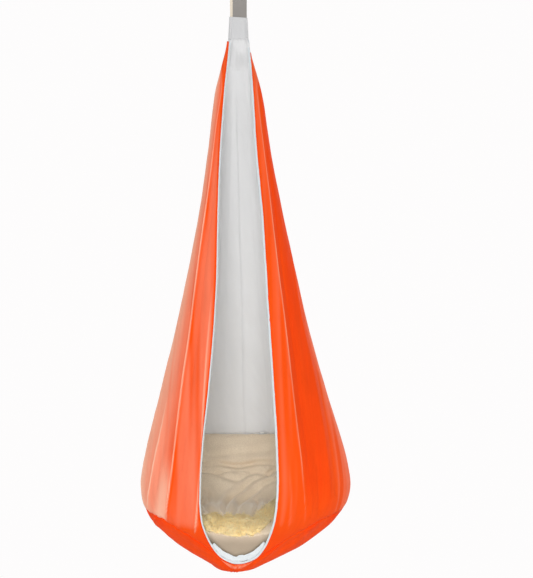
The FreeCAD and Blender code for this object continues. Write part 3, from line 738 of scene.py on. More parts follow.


# On the outer cloth and the liner, pale and deep are the colours of painted highlights and painted shade
outer_cloth = woven("outer_cloth", (240, 79, 12), (250, 198, 170), (236, 57, 2),
                    sheen=0.04, sheen_tint=(1.0, 0.6, 0.45, 1.0))
liner_cloth = woven("liner_cloth", (240, 240, 240), (246, 246, 246), (193, 193, 194),
                    sheen=0.1, mottle=0.015, relief=0.15)
binding_cloth = woven("binding_tape", (208, 215, 218), (226, 231, 233), (180, 190, 196),
                      thread=0.0006, sheen=0.2, mottle=0.02)
webbing = woven("webbing", (142, 138, 134), (176, 172, 168), (112, 108, 104),
                thread=0.0014, sheen=0.1)
cream_tape = woven("cream_tape", (222, 211, 194), (232, 222, 206), (196, 186, 170),
                   thread=0.0011, sheen=0.1, mottle=0.02)
SEWING = 0.0005
outer_thread = woven("outer_thread", (240, 76, 26), (250, 120, 80), (205, 50, 10), SEWING)
pale_thread = woven("pale_thread", (205, 205, 205), (225, 225, 225), (180, 180, 180), SEWING)
binding_thread = woven("binding_thread", (196, 204, 210), (215, 220, 225), (160, 168, 175), SEWING)
grey_thread = woven("grey_thread", (120, 117, 113), (150, 147, 143), (90, 88, 85), SEWING)
velour = napped("cushion_velour", (236, 217, 191), (246, 229, 204), (214, 194, 168),
                nap=0.0022, rough=0.78, sheen=0.55, sheen_tint=(1.0, 0.96, 0.9, 1.0), lift=0.0009)
pile_cloth = napped("fleece", (255, 234, 172), (255, 243, 200), (255, 216, 142),
                    nap=0.005, rough=0.92, sheen=0.8, sheen_tint=(1.0, 0.95, 0.8, 1.0), lift=0.002)
bladder_film = glazed("bladder_film", rgb(205, 207, 208), 0.32, 0.2, (70.0, 5.0, 0.65, (1.0, 0.5, 1.0)),
                      14.0, 0.88, (0.06, 0.1), (0.0012, 0.5))
ALONG_Z = (1.0, 1.0, 12.0)    # stretches a noise for metal brushed across its length
steel_spring = steel("steel_spring", (0.26, 0.26, 0.27, 1), 0.3, ALONG_Z)

HARDWARE = [
    (steel("steel_plate", (0.36, 0.365, 0.37, 1), 0.36), "ceiling_plate swivel_housing"),
    (steel("steel_forged", (0.27, 0.275, 0.28, 1), 0.38), "swivel_nut swivel_eye strap_ring"),
    (steel("steel_hook", (0.31, 0.315, 0.33, 1), 0.27, ALONG_Z),
     "hook_body hook_gate hook_gate_pin hook_gate_plunger"),
    (steel_spring, "hook_gate_spring"),
    (plastic("nylon", rgb(232, 230, 222), 0.5), "swivel_washer"),
    (plastic("valve_plastic", rgb(226, 226, 222), 0.3, 0.3), "valve_body valve_plug"),
]
for finish, nodes in HARDWARE:
    for node in nodes.split():
        for slot in bpy.data.objects[node].material_slots:
            slot.material = finish


# Walls, liner and base

def top_height(angle, liner):
    # The outer cloth's upper edge slopes down from left to right
    if liner:
        return np.full(np.shape(angle), WALL_TOP)
    middle, half_width, between_edges = -4.9, 31, 53
    x = middle + half_width * np.sin(np.radians(angle))
    return (TOP_LEFT + TOP_RIGHT) / 2 + (TOP_RIGHT - TOP_LEFT) / between_edges * x


def wall_grid(side, rows, columns, liner):
    # Angles and heights over one wall panel, from its top edge to the base seam
    v, u = patch(rows, columns)
    if side == "back":
        angle = BACK_SEAM + (360 - 2 * BACK_SEAM) * u + 0 * v
        top = top_height(angle, liner)
        return angle, top + (SEAM_TOP - top) * v
    sign = -1 if side == "left" else 1
    slit_top = WALL_TOP if liner else (TOP_LEFT if sign < 0 else TOP_RIGHT)
    slit_h = slit_top + (SLIT_MEET - slit_top) * v[:, 0]
    slit_a = np.abs(angle_at(slit_edge(slit_h, sign, EDGE_OUT), slit_h))
    back_top = float(top_height(sign * BACK_SEAM, liner))
    back_h = back_top + (SEAM_TOP - back_top) * v[:, 0]
    seam_a = slit_a[-1] + (BACK_SEAM - slit_a[-1]) * u[0]
    seam_h = seam_height(seam_a)
    seam_h = seam_h + (SLIT_MEET - seam_h[0]) * np.clip(1 - u[0] * 12, 0, 1)
    top_a = slit_a[0] + (BACK_SEAM - slit_a[0]) * u[0]
    top_h = top_height(sign * top_a, liner)
    top_h = top_h + (slit_top - top_h[0]) * (1 - u[0])

    def between(left, right, top, bottom):
        # A patch that meets its four edges
        plain = ((1 - u) * (1 - v) * top[0] + u * (1 - v) * top[-1]
                 + (1 - u) * v * bottom[0] + u * v * bottom[-1])
        return (1 - u) * left[:, None] + u * right[:, None] + (1 - v) * top + v * bottom - plain

    angle = between(slit_a, np.full(rows, BACK_SEAM), top_a, seam_a)
    return sign * angle, between(slit_h, back_h, top_h, seam_h)


def wall_panel(side, liner, rows, columns):
    angle, h = wall_grid(side, rows, columns, liner)
    out, tone = fold_shape(angle, h)
    over_seam = h - seam_height(angle)
    w, d = section(h)[:2]
    radius = (w + d) / 2
    out = out * np.clip(over_seam / 60, 0.25, 1)
    out += pucker(np.radians(angle) * radius, over_seam, 0.9, 11, SEAM_GATHERS)
    out -= SEAM_DIP * bell(over_seam, SEAM_DIP_WIDTH)
    tone = tone + painted_light_and_streaks(angle, h)
    from_left = np.radians(np.abs(angle - angle[:, :1])) * radius
    from_back = np.radians(np.abs(angle - angle[:, -1:])) * radius
    if side == "back":
        from_back = np.minimum(from_left, from_back)
    else:
        out = out * np.clip(from_left / 26 + 0.12, 0, 1)
        out += pucker(h, from_left, 0.35, 6, 33)
        # Painted shade in a narrow strip along the slit's edge
        tone = tone - 0.35 * bell(from_left, 4.0)
    out = out * np.clip(from_back / 30 + 0.1, 0, 1)
    out -= 1.1 * bell(from_back, 3.0)
    out += pucker(h, from_back, 0.4, 9, 41)
    tone = np.clip(tone, -1, 1)
    if liner:
        out = out - LINER_IN
        # The liner keeps a weaker share of the folds' painted light and shade, and painted shade grows
        # towards its top
        tone = np.clip(tone, -1, 0.2) * 0.4 - 0.22 * smooth_step((h - 700) / 500)
    else:
        out += 0.7 * bell(np.clip(top_height(angle, False) - h - 3, 0, None), 5.0, 4)
    grid = raised(angle, h, out)
    return thin_solid(("liner_" if liner else "outer_") + side + "_cloth", grid, tone), grid


def base_panel(liner, rows, columns):
    # The bowl under the seam, from its edge to its lowest point
    angle = np.arange(columns) * 360.0 / columns
    front = np.abs(signed(angle)) < 20.6
    edge = seam_height(angle)
    edge = np.where(front, np.minimum(low_edge_height(angle, EDGE_OUT), edge), edge)
    samples = np.linspace(0, 170, 500)
    w, d = section(samples)[:2]
    length = run_length(np.stack([w * 0.5 + d * 0.5, samples], -1))
    edge_length = np.interp(edge, samples, length)
    v = np.linspace(1, 0.012, rows)[:, None]
    h = np.interp(v * edge_length, length, samples)
    angles = angle[None, :] + 0 * v
    under = (1 - v) * edge_length
    out = pucker(np.radians(angles) * 200, under, 1.3, 16, SEAM_GATHERS)
    out -= SEAM_DIP * bell(under, SEAM_DIP_WIDTH)
    radial = np.sin(np.radians(angles) * 17 + 2 * line_noise(angles / 30, 61))
    radial += 0.7 * value_noise(angles / 9, under / 90, 62)
    out += 1.8 * radial * bell(under - 45, 50)
    out += 1.2 * value_noise(angles / 14 * v, under / 40, 63)
    tuck = np.where(front, 0.0, 1.0) * (np.arange(rows)[:, None] == 0)
    grid = raised(angles, h, out - (LINER_IN if liner else 0) - 1.3 * tuck, True)
    grid[..., 2] += 5.0 * tuck
    # Painted shade over the whole base, deepest just below the seam and varying with its radial folds
    tone = -0.35 - 0.45 * bell(under - 10, 16) * (0.5 + 0.5 * radial)
    name = ("liner" if liner else "outer") + "_base_cloth"
    return thin_solid(name, grid, tone, uv=grid[..., :2], wrap=True, capped=True)


# Flat sizes of the panels in metres and square metres
PANELS = {"left": ((0.46, 1.40), 0.385), "right": ((0.50, 1.38), 0.42), "back": ((0.44, 1.27), 0.36),
          "base": ((0.66, 0.56), 0.29)}
wall_grids = {}
for side, (flat, area) in PANELS.items():
    for layer, cloth in (("outer", outer_cloth), ("liner", liner_cloth)):
        inside = layer == "liner"
        if side == "base":
            panel = base_panel(True, 50, 300) if inside else base_panel(False, 60, 420)
        elif inside:
            panel, _ = wall_panel(side, True, 190, 110)
        else:
            panel, wall_grids[side] = wall_panel(side, False, 250, 150)
        node = layer + "_" + side + "_panel"
        settle(panel, cloth, layer + "_cloth", node, flat=flat, held="hung", area=area)


# Binding round the slit

def slit_rim():
    # The slit's line as places across and heights, its outward side, and in space its points,
    # the direction across the binding and the direction that it faces
    side_h = np.concatenate([np.linspace(1429, 120, 330), np.linspace(118, 66, 22)])
    x = np.linspace(-56, 56, 44)
    left, right = (np.stack([slit_edge(side_h, sign, 0), side_h], -1) for sign in (-1, 1))
    path = smoothed(np.concatenate([left, np.stack([x, slit_low(x, 0)], -1), right[::-1]]), 6)
    tangent = unit(np.gradient(path, axis=0))
    aside = np.stack([-tangent[:, 1], tangent[:, 0]], -1)
    if aside[10, 0] > 0:
        aside = -aside
    points = on_front(path)
    across = unit(smoothed(on_front(path + aside * 5.0) - points, 4))
    facing = unit(np.cross(unit(np.gradient(points, axis=0)), across))
    facing = np.where((facing[:, 1] > 0)[:, None], -facing, facing)
    return path, aside, points, across, facing


rim_path, rim_aside, rim_points, rim_across, rim_facing = slit_rim()
binding_half, binding_half_height = 2.9, 2.2
rim_run = run_length(rim_points)
wobble = 0.25 * line_noise(rim_run / 9, 51) + 0.35 * line_noise(rim_run / 34, 52)
leaner = 0.62 + 0.38 * smooth_step((rim_path[:, 0] + 45) / 60)    # narrower on the left
middle = rim_points + rim_across * (binding_half * leaner + wobble)[:, None] - rim_facing * 1.6
binding = sweep("opening_binding_tape", middle, rim_across, rim_facing,
                rounded(binding_half, binding_half_height), size=leaner)
settle(binding, binding_cloth, "binding_tape", "opening_binding", flat=(0.010, 2.96), held="stretched")
sewn = rim_points + rim_across * (4.4 * leaner)[:, None] + rim_facing * 0.55
seam = stitches("binding_stitches", [(sewn, rim_facing)], 3.4, 2.3, 0.26, 0.2)
settle(seam, binding_thread, "binding_tape")


# Hem and fold of the outer cloth under the slit

def lip_hem():
    v, u = patch(12, 120)
    u = 2 * u - 1
    angle = -1.5 + 20.5 * u + 0 * v
    ends = np.sqrt(np.clip(1 - u ** 2, 0, 1))
    h = low_edge_height(angle[0], 4.0)[None] - 15.5 * v * ends
    puffed = 1.9 + 1.5 * np.sin(np.pi * v) * ends + 0.5 * value_noise(angle / 2.6, v * 2, 71)
    puffed = puffed + pucker(angle * 4, 16 * (1 - v), 0.5, 6, 73)
    puffed = puffed + 2.6 * bell(angle + 15.5, 1.9) * bell(v - 0.35, 0.3)
    grid = raised(angle, h, puffed)
    # Painted highlight along the middle of the rolled hem, with random tone
    tone = 0.25 * np.sin(np.pi * v) + 0.2 * value_noise(angle / 3, v * 2, 72)
    return thin_solid("lip_hem_cloth", grid, tone), grid


hem, hem_grid = lip_hem()
hem_normals = facing_out(hem_grid)
settle(hem, outer_cloth, "outer_cloth", "lip_hem", flat=(0.12, 0.020), held="folded", area=0.0016)


# Gathered collar round the strap, and its front that runs on down to the liner

def collar():
    columns, rows = 160, 34
    turn = np.arange(columns)[None] * 2 * math.pi / columns
    level = np.linspace(0, 1, rows)[:, None]
    squareness = 2.6
    x, y = (np.sign(c) * np.abs(c) ** (2 / squareness) for c in (np.cos(turn), np.sin(turn)))
    half_width = 24.4 + 2.9 * level
    half_depth = 4.6 + 8.8 * smooth_step(level)
    z = POD_TOP - 60.5 * level + 0 * turn
    across = half_width * x
    grid = np.stack([COLLAR_SHIFT + across, half_depth * y, z - 0.06 * across * (1 - level)], -1)
    away = grid - np.array([COLLAR_SHIFT, 0, 0])
    away[..., 2] = 0
    normal = turned_to(normals_of(grid, True), away)
    down = level * 60
    pleat = 0.55 * np.sin(turn * 11 + 1.2 * np.sin(turn * 3)) * smooth_step(level / 0.25)
    pleat = pleat + 0.3 * value_noise(turn * 7, level * 3, 91) + 0.5 * bell(down - 2, 4.0, 4)
    grid = grid + normal * pleat[..., None]
    # Painted shade over the whole collar, darkest in a thin line just under its rolled top
    tone = -0.9 - 0.1 * bell(down - 6.5, 0.9) + 0 * turn
    uv = np.stack([np.broadcast_to(turn * 18, (rows, columns)), grid[..., 2]], -1)
    return thin_solid("neck_collar_cloth", grid, tone, normal, COLLAR_CLOTH, uv, True), grid, normal


def collar_front():
    t, u = patch(40, 30)
    h = 1433 - 84 * t + 0 * u
    tucked = -1.6 + 4.4 * smooth_step(t / 0.3)
    left, right = slit_edge(h, -1, tucked), slit_edge(h, 1, tucked)
    x = left + (right - left) * u
    w, d, shift, back = section(h)
    on_collar = -11.2
    on_liner = back + d * np.sqrt(np.clip(1 - ((x - shift) / w) ** 2, 0, 1)) - 4.2
    y = on_collar + (on_liner - on_collar) * smooth_step(t * 1.02)
    grid = np.stack([x, y, POD_BOTTOM + h], -1)
    normal = turned_to(normals_of(grid), np.array([0, -1, 0]))
    seams = (0.12, 0.88)
    pleat = 0.5 * np.sin(u * 31 + 0.6 * np.sin(t * 5)) - 1.1 * sum(bell(u - seam, 0.035) for seam in seams)
    grid = grid + normal * pleat[..., None]
    # Painted shade over the collar's front, deepest in the hollows along its two seams and lessening
    # downwards
    tone = -0.75 - 0.25 * sum(bell(u - seam, 0.04) for seam in seams) + 0.5 * t
    return thin_solid("neck_collar_front", grid, tone, normal, COLLAR_CLOTH)


neck, neck_grid, neck_normals = collar()
settle(neck, liner_cloth, "liner_cloth", "neck_collar", flat=(0.125, 0.062), held="gathered")
settle(collar_front(), liner_cloth, "liner_cloth", flat=(0.052, 0.092), held="gathered")


# Liner's slack edge standing up inside the slit's lower end

def liner_lip():
    low = (rim_path[:, 1] < 92) & (rim_path[:, 0] > -70) & (rim_path[:, 0] < 72)
    share = np.linspace(-1, 1, low.sum())
    v = np.linspace(0, 1, 10)[:, None]
    width = 3.0 + 10.5 * np.clip(1 - np.abs(share) ** 2.6, 0, 1)
    width = width + 2.2 * line_noise(share * 9, 101) * (1 - np.abs(share))
    place = rim_path[low][None] - rim_aside[low][None] * (v * width)[..., None]
    depth = 2.6 + 5.5 * v ** 1.3 + 0.9 * value_noise(share[None] * 12, v * 2, 103)
    grid = on_front(place) - rim_facing[low][None] * depth[..., None]
    normal = turned_to(normals_of(grid), np.array([0, -1, 0]))
    return thin_solid("liner_base_lip", grid, np.full(depth.shape, 0.3), normal, 0.9)


settle(liner_lip(), binding_cloth, "liner_cloth", flat=(0.16, 0.016), held="stretched")


# Webbing strap round the ring's bar, and the tape between its legs
RING_BAR = -170.7
STRAP_END = POD_TOP - 50
STRAP_CLOSED = -196.7     # under this height the strap's legs lie together
STRAP_HALF = 19.0


def strap_line():
    # The strap seen from the side, as places backward and up
    shoulder, leg, loop = RING_BAR - 4, 1.6, 5.3
    half = [(-leg, z) for z in np.linspace(STRAP_END, STRAP_CLOSED, 60)]
    half += [(-leg + (leg - loop) * smooth_step(t), STRAP_CLOSED + (shoulder - STRAP_CLOSED) * t)
             for t in np.linspace(0.04, 1, 16)]
    bend = [(-loop * math.cos(a), RING_BAR + loop * math.sin(a)) for a in np.linspace(0, math.pi, 40)]
    return np.array(half + bend + [(-y, z) for y, z in half[::-1]])


def strap_outline():
    # The webbing's section: ribs across its faces, a thicker edge and flat sides
    x = np.linspace(-STRAP_HALF, STRAP_HALF, 61)
    edge, flank, half_thickness, ribs = 19.4, 0.5, 0.85, 12
    rib = 0.10 * np.abs(np.sin(x / (2 * STRAP_HALF) * math.pi * ribs)) + 0.12 * bell(np.abs(x) - 18, 1.2)
    upper = np.stack([x, half_thickness + rib], -1)
    outline = np.concatenate([upper, [[edge, flank], [edge, -flank]], (upper * (1, -1))[::-1],
                              [[-edge, -flank], [-edge, flank]]])
    outline[:, 0] *= STRAP_HALF / edge
    return outline


line = strap_line()
flat_zero = 0 * line[:, 0]
strap_run = unit(np.gradient(line, axis=0))
strap = sweep("hanging_strap_webbing", np.stack([flat_zero, line[:, 0], line[:, 1]], -1),
              np.tile([1.0, 0, 0], (len(line), 1)),
              np.stack([flat_zero, -strap_run[:, 1], strap_run[:, 0]], -1), strap_outline())
settle(strap, webbing, "webbing", "hanging_strap", flat=(0.038, 0.335), held="folded")

tape_x = np.linspace(-26.5, 11.5, 16)[None, :]
tape_z = np.linspace(-197.5, STRAP_END, 60)[:, None]
tape_grid = np.stack(np.broadcast_arrays(tape_x + 0.25 * np.sin(tape_z / 9),
                                         -0.55 + 0.12 * np.sin(tape_z / 5 + tape_x / 9), tape_z), -1)
tape_normal = np.broadcast_to([0, -1.0, 0], tape_grid.shape)
tape = thin_solid("strap_tape_cream", tape_grid, 0 * tape_grid[..., 0], tape_normal, 1.05)
settle(tape, cream_tape, "cream_tape", "strap_tape", flat=(0.038, 0.134), held="stretched")


# Stitching: a box with a cross on the strap, two rows round the collar, the seams of the walls
BOX_HALF, BOX_TOP, BOX_LOW, BOX_FACE = 15, -203, -229, 2.62
THREAD_OUT = 0.1          # how far a seam's thread lies over its cloth
left_top, right_top = (-BOX_HALF, BOX_TOP), (BOX_HALF, BOX_TOP)
left_low, right_low = (-BOX_HALF, BOX_LOW), (BOX_HALF, BOX_LOW)
strap_runs = []
for start, end in ((left_top, right_top), (right_top, right_low), (right_low, left_low),
                   (left_low, left_top), (left_top, right_low), (right_top, left_low)):
    for face in (-1.0, 1.0):
        x, z = np.linspace(start, end, 12).T
        points = np.stack([x, np.full(12, face * BOX_FACE), z], -1)
        strap_runs.append((points, np.tile([0, face, 0], (12, 1))))
settle(stitches("strap_stitches", strap_runs, 3.0, 2.3, 0.35, 0.25), grey_thread, "webbing")


def on_cloth(points, normals):
    return points + THREAD_OUT * normals, normals


neck_runs = [on_cloth(*(np.append(each[row], each[row][:1], 0) for each in (neck_grid, neck_normals)))
             for row in (3, 8)]
settle(stitches("collar_stitches", neck_runs, 3.0, 2.1, 0.28, 0.2), pale_thread, "liner_cloth")
wall_runs = []
for side, grid in wall_grids.items():
    normal = facing_out(grid)
    edge = 2 if side == "back" else -3
    wall_runs += [on_cloth(grid[row], normal[row]) for row in (-2, 2)]
    wall_runs.append(on_cloth(grid[:, edge], normal[:, edge]))
wall_runs.append(on_cloth(hem_grid[8], hem_normals[8]))
settle(stitches("outer_stitches", wall_runs, 3.4, 2.4, 0.26, 0.2), outer_thread, "outer_cloth")

# Spring inside the hook's gate
COIL_RADIUS, COIL_TURNS, COIL_LENGTH, WIRE_RADIUS = 2.0, 7, 12.9, 0.38
COIL_BACK, COIL_LOW = -18, -105.3
coil_share = np.linspace(0, 1, 150)
turn = 2 * math.pi * (1 + COIL_TURNS * coil_share)
coil = np.stack([COIL_RADIUS * np.cos(turn), COIL_BACK + COIL_RADIUS * np.sin(turn),
                 COIL_LOW + COIL_LENGTH * coil_share], -1)
coil_out = np.stack([np.cos(turn), np.sin(turn), 0 * turn], -1)
eighths = np.arange(8) * math.pi / 4
wire = WIRE_RADIUS * np.stack([np.cos(eighths), np.sin(eighths)], -1)
coil_up = np.cross(unit(np.gradient(coil, axis=0)), coil_out)
settle(sweep("hook_gate_coil", coil, coil_out, coil_up, wire, "gate"), steel_spring, "steel_spring",
       "hook_gate_spring")

# Cushion: its upper outline seen from the side, as arcs through places backward and heights
CUSHION_ARCS = [
    [(-258, 70), (-232, 122), (-175, 142)], [(-175, 142), (-111, 166), (-46, 168)],
    [(-46, 168), (36, 186), (87, 233)], [(87, 233), (112, 254), (119, 284)],
    [(119, 284), (132, 312), (147, 331)], [(147, 331), (161, 347), (183, 331)],
    [(183, 331), (210, 308), (238, 300)],
]
VOXEL = 0.0055            # in metres, as Blender takes it
CLOTH_SETTINGS = {"quality": 5, "use_pressure": True, "uniform_pressure_force": 4.0,
                  "tension_stiffness": 12, "compression_stiffness": 12, "bending_stiffness": 0.4}
TRAVEL, FRAMES = 6.0, 20
WALL_ROOM = 4.6           # from the outer cloth's face to the cushion's

# Creases: points in the picture, depth in mm, half width in px
CREASES = [
    ([(190, 459.5), (205, 458), (225, 454.5), (245, 452), (255, 451.5), (277, 449), (295, 448)], 3.2, 3.0),
    ([(190, 465.5), (203.6, 464.5), (210.7, 463), (219.5, 462.7), (228.9, 464.8), (239.4, 466.3),
      (248.8, 464.5), (255.9, 462.7), (277, 462.4), (295, 462)], 5.0, 2.1),
    ([(208, 473), (218, 474), (227, 477.4), (238.3, 480), (244.7, 476.8), (252.3, 473.3),
      (258, 472.7), (266.4, 473.6), (277, 466.3), (290, 462)], 5.0, 2.3),
    ([(292, 463), (277, 469.8), (266.4, 476.2), (254.7, 479.2), (247, 484.4), (241.8, 489.7),
      (233.5, 495), (227, 502), (224.6, 511), (224, 518)], 5.5, 2.3),
    ([(292, 472), (277, 479), (265, 484.3), (253.3, 493.2), (238.4, 504), (235.5, 511), (234.5, 516.4)],
     5.0, 2.2),
    ([(256.2, 499), (257.7, 505), (255.2, 514), (254.7, 519)], 4.0, 2.0),
    ([(205, 487), (206.8, 490), (208.8, 497), (207.8, 505)], 4.0, 2.2),
    ([(196, 499), (201.9, 503), (209.8, 510), (218.7, 516), (223.6, 519)], 4.0, 2.0),
    ([(200, 515), (203.3, 518), (208, 522), (212.7, 527)], 7.0, 1.6),
]

# The fleece band's upper and lower edge in the picture
FLEECE_TOP = np.array([
    (184, 518), (203, 516.5), (208.5, 515.3), (215.5, 514), (223.2, 519.1), (225.7, 515.3),
    (230.8, 514.7), (233.4, 517.2), (237.2, 515.9), (244.8, 514.7), (250.6, 518.5), (255.1, 519.8),
    (257.6, 512.8), (263.3, 508.3), (269.7, 504.5), (276.1, 501.3), (286, 497), (300, 493)])
FLEECE_LOW = np.array([
    (184, 524), (198, 525), (205.3, 529.3), (209.1, 536.4), (214.2, 538.3), (216.8, 534.2),
    (221.9, 536.2), (225.7, 538.3), (229.5, 539.8), (238.4, 540.0), (242.9, 537.4), (247.4, 534.4),
    (250.6, 536.4), (258.9, 533.2), (265.3, 528.1), (271.6, 521), (276.1, 515.9), (286, 510), (300, 506)])

EYE = np.array([72.7, -5000.0, -1018.7])    # where the picture is seen from
PIXEL = 1840.0                              # distance to the picture, in its pixels
PICTURE_CENTRE = (266.5, 289.0)


def seen_at(points):
    # Place in the picture, in pixels from its upper left corner
    x, away, up = (points - EYE).T
    return np.stack([PICTURE_CENTRE[0] + x / away * PIXEL, PICTURE_CENTRE[1] - up / away * PIXEL], -1)


def toward_eye(points, normals):
    # How squarely each point faces the eye, from -1 to 1
    return np.sum(normals * unit(EYE - points), 1)


def arc_through(a, b, c, count):
    a, b, c = (np.array(p, float) for p in (a, b, c))
    area = 2 * (a[0] * (b[1] - c[1]) + b[0] * (c[1] - a[1]) + c[0] * (a[1] - b[1]))
    squares = [p @ p for p in (a, b, c)]
    centre = np.array([
        squares[0] * (b[1] - c[1]) + squares[1] * (c[1] - a[1]) + squares[2] * (a[1] - b[1]),
        squares[0] * (c[0] - b[0]) + squares[1] * (a[0] - c[0]) + squares[2] * (b[0] - a[0]),
    ]) / area
    turns = np.unwrap([math.atan2(*(p - centre)[::-1]) for p in (a, b, c)])
    turn = np.linspace(turns[0], turns[2], count)
    return centre + np.linalg.norm(a - centre) * np.stack([np.cos(turn), np.sin(turn)], -1)


def cushion_blank():
    # A closed block under the cushion's upper form, sinking towards its sides
    profile = np.concatenate([arc_through(*arc, 12)[:-1] for arc in CUSHION_ARCS] + [[CUSHION_ARCS[-1][2]]])
    half_width, shift, sink, wall, floor = 235.0, 17.0, 26.0, 350, POD_BOTTOM - 60
    rings = []
    for share in np.linspace(-1, 1, 49):
        x = share * half_width + shift
        top = [(x, y, POD_BOTTOM + h - sink * share ** 4) for y, h in profile]
        back, front = top[-1][2], top[0][2]
        rings.append(top + [(x, wall, back), (x, wall, floor), (x, -wall, floor), (x, -wall, front)])
    return plain_block("cushion_blank", np.array(rings))


def bowl_block(inset):
    # The space inside the pod's lower part
    heights = np.concatenate([np.linspace(2, 60, 14), np.linspace(75, 560, 40)])
    angles, h = np.meshgrid(np.arange(120) * 3.0, heights)
    grid = on_pod(angles, h)
    return plain_block("bowl_block", grid - facing_out(grid, True) * inset)


def plain_block(name, rings):
    block = make_object(name, rings.reshape(-1, 3), tube_faces(*rings.shape[:2]), body=None, smooth=False)
    recalc(block)
    return block


def pod_reach(points):
    # The pod's section at each point, and the share of its radius that the point is out
    h = np.clip(points[:, 2] - POD_BOTTOM, 0.5, 1425)
    w, d, right, back = section(h)
    return (w, d, right, back), np.hypot((points[:, 0] - right) / w, (points[:, 1] - back) / d)


def puff(obj, held):
    # Cloth under air pressure, its travel capped, with the held points kept in place
    start = vertices_of(obj)
    group = obj.vertex_groups.new(name="held")
    for index in np.nonzero(held > 0.05)[0]:
        group.add([int(index)], float(min(held[index], 1.0)), "REPLACE")
    cloth = obj.modifiers.new("puff", "CLOTH")
    for setting, value in CLOTH_SETTINGS.items():
        setattr(cloth.settings, setting, value)
    cloth.settings.effector_weights.gravity = 0
    cloth.settings.vertex_group_mass = "held"
    cloth.collision_settings.use_collision = False
    cloth.point_cache.frame_start = 1
    cloth.point_cache.frame_end = FRAMES
    for number in range(1, FRAMES + 1):
        scene.frame_set(number)
    applied(obj)
    scene.frame_set(1)
    moved = vertices_of(obj) - start
    length = np.linalg.norm(moved, axis=1, keepdims=True)
    set_vertices(obj, start + moved * np.minimum(1, TRAVEL / np.maximum(length, 1e-6)))
    obj.vertex_groups.clear()


def make_cushion():
    blank = cushion_blank()
    bowl = bowl_block(5.0)
    meet = blank.modifiers.new("meet", "BOOLEAN")
    meet.operation = "INTERSECT"
    meet.object = bowl
    meet.solver = "EXACT"
    applied(blank)
    bpy.data.objects.remove(bowl)
    remesh = blank.modifiers.new("remesh", "REMESH")
    remesh.mode = "VOXEL"
    remesh.voxel_size = VOXEL
    applied(blank)
    points = vertices_of(blank)
    h = points[:, 2] - POD_BOTTOM
    near_wall = smooth_step((pod_reach(points)[1] - 0.955) / 0.03) * (h < 330)
    puff(blank, np.maximum(near_wall, smooth_step((62 - h) / 20)))
    return blank


def distance_to(points, line):
    # Distance to a line of places, and the share of its length at the nearest place
    best = np.full(len(points), 1e9)
    along = np.zeros(len(points))
    total = 0.0
    for a, b in zip(line[:-1], line[1:]):
        span = b - a
        length = np.linalg.norm(span)
        t = np.clip((points - a) @ span / length ** 2, 0, 1)
        d = np.linalg.norm(points - a - t[:, None] * span, axis=1)
        nearer = d < best
        along = np.where(nearer, total + t * length, along)
        best = np.where(nearer, d, best)
        total += length
    return best, along / total


def crease(points, normals):
    # How far each point of the cushion sinks into its creases or stands up beside them
    place = seen_at(points)
    out = np.zeros(len(points))
    for line, depth, width in CREASES:
        distance, along = distance_to(place, smooth_curve(line))
        taper = smooth_step(along / 0.12) * smooth_step((1 - along) / 0.12)
        t = distance / width
        out += depth * taper * (-bell(t, 1) + 0.42 * bell(t - 2.1, 1.1))
    out += 0.8 * value_noise(place[:, 0] / 9, place[:, 1] / 5, 81)
    return out * np.clip(0.8 / np.maximum(toward_eye(points, normals), 0.3), 0.7, 1.7)


def finish_cushion(obj):
    obj.modifiers.new("smooth", "SUBSURF").levels = 1
    applied(obj)
    shade_smooth(obj.data)
    points, normals = vertices_of(obj), vertex_data(obj, "normal")
    _, reach = pod_reach(points)
    upper = smooth_step((0.985 - reach) / 0.03) * smooth_step((normals[:, 2] + 0.75) / 0.5)
    out = crease(points, normals) * upper
    # Flat round the valve
    valve = np.hypot(points[:, 0] - 60, points[:, 1] - 170)
    on_top = points[:, 2] > POD_BOTTOM + 290
    out = out * np.where(on_top, smooth_step((valve - 17) / 14), 1)
    points = points + normals * out[:, None]
    # Kept inside the liner
    (w, d, right, back), reach = pod_reach(points)
    h = np.clip(points[:, 2] - POD_BOTTOM, 0.5, 1425)
    limit = 1 - WALL_ROOM / ((w + d) / 2)
    scale = np.where((reach > limit) & (h > 120), limit / np.maximum(reach, 1e-6), 1)
    points[:, 0] = right + (points[:, 0] - right) * scale
    points[:, 1] = back + (points[:, 1] - back) * scale
    front = smooth_step((-30 - points[:, 1]) / 40) * smooth_step((120 - np.abs(points[:, 0])) / 40)
    points = points - normals * (8.0 * smooth_step((185 - h) / 110) * front)[:, None]
    # The crest in front of the valve, and the well that the valve sits in
    points[:, 2] += 4.0 * bell(points[:, 0] - 58, 42) * bell(points[:, 1] - 147, 12) * on_top
    ring_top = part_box("valve_body")[1][2] / MM - 3.4
    sunk = on_top & (valve < 17.5)
    points[:, 2] = np.where(sunk, np.minimum(points[:, 2], ring_top), points[:, 2])
    set_vertices(obj, points)
    # Painted shade on the cushion's low front, deepening towards its bottom
    point_values(obj.data, "painted_shade", 0.88 * smooth_step((132 - h) / 50) * front)
    return points


def make_bladder(cushion):
    # The bladder is the puffed cushion drawn inward, most where creases and the front sink in
    bladder = cushion.copy()
    bladder.data = cushion.data.copy()
    bladder.name = "air_bladder_film"
    scene.collection.objects.link(bladder)
    points, normals = vertices_of(bladder), vertex_data(bladder, "normal")
    inward = 6.0 + 9.0 * smooth_step((normals[:, 2] + 0.6) / 0.8)
    h = points[:, 2] - POD_BOTTOM
    inward += 10.0 * smooth_step((-10 - points[:, 1]) / 40) * smooth_step((250 - h) / 60)
    set_vertices(bladder, points - normals * inward[:, None])
    shade_smooth(bladder.data)
    return bladder


cushion = make_cushion()
bladder = make_bladder(cushion)
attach(bladder, "pod")
settle(bladder, bladder_film, "bladder_film", "air_bladder")
cushion.name = "cushion_velour"
points = finish_cushion(cushion)
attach(cushion, "pod")
settle(cushion, velour, "cushion_velour", "cushion_cover")


# Fleece: a padded backing on the cushion, and the pile's strands

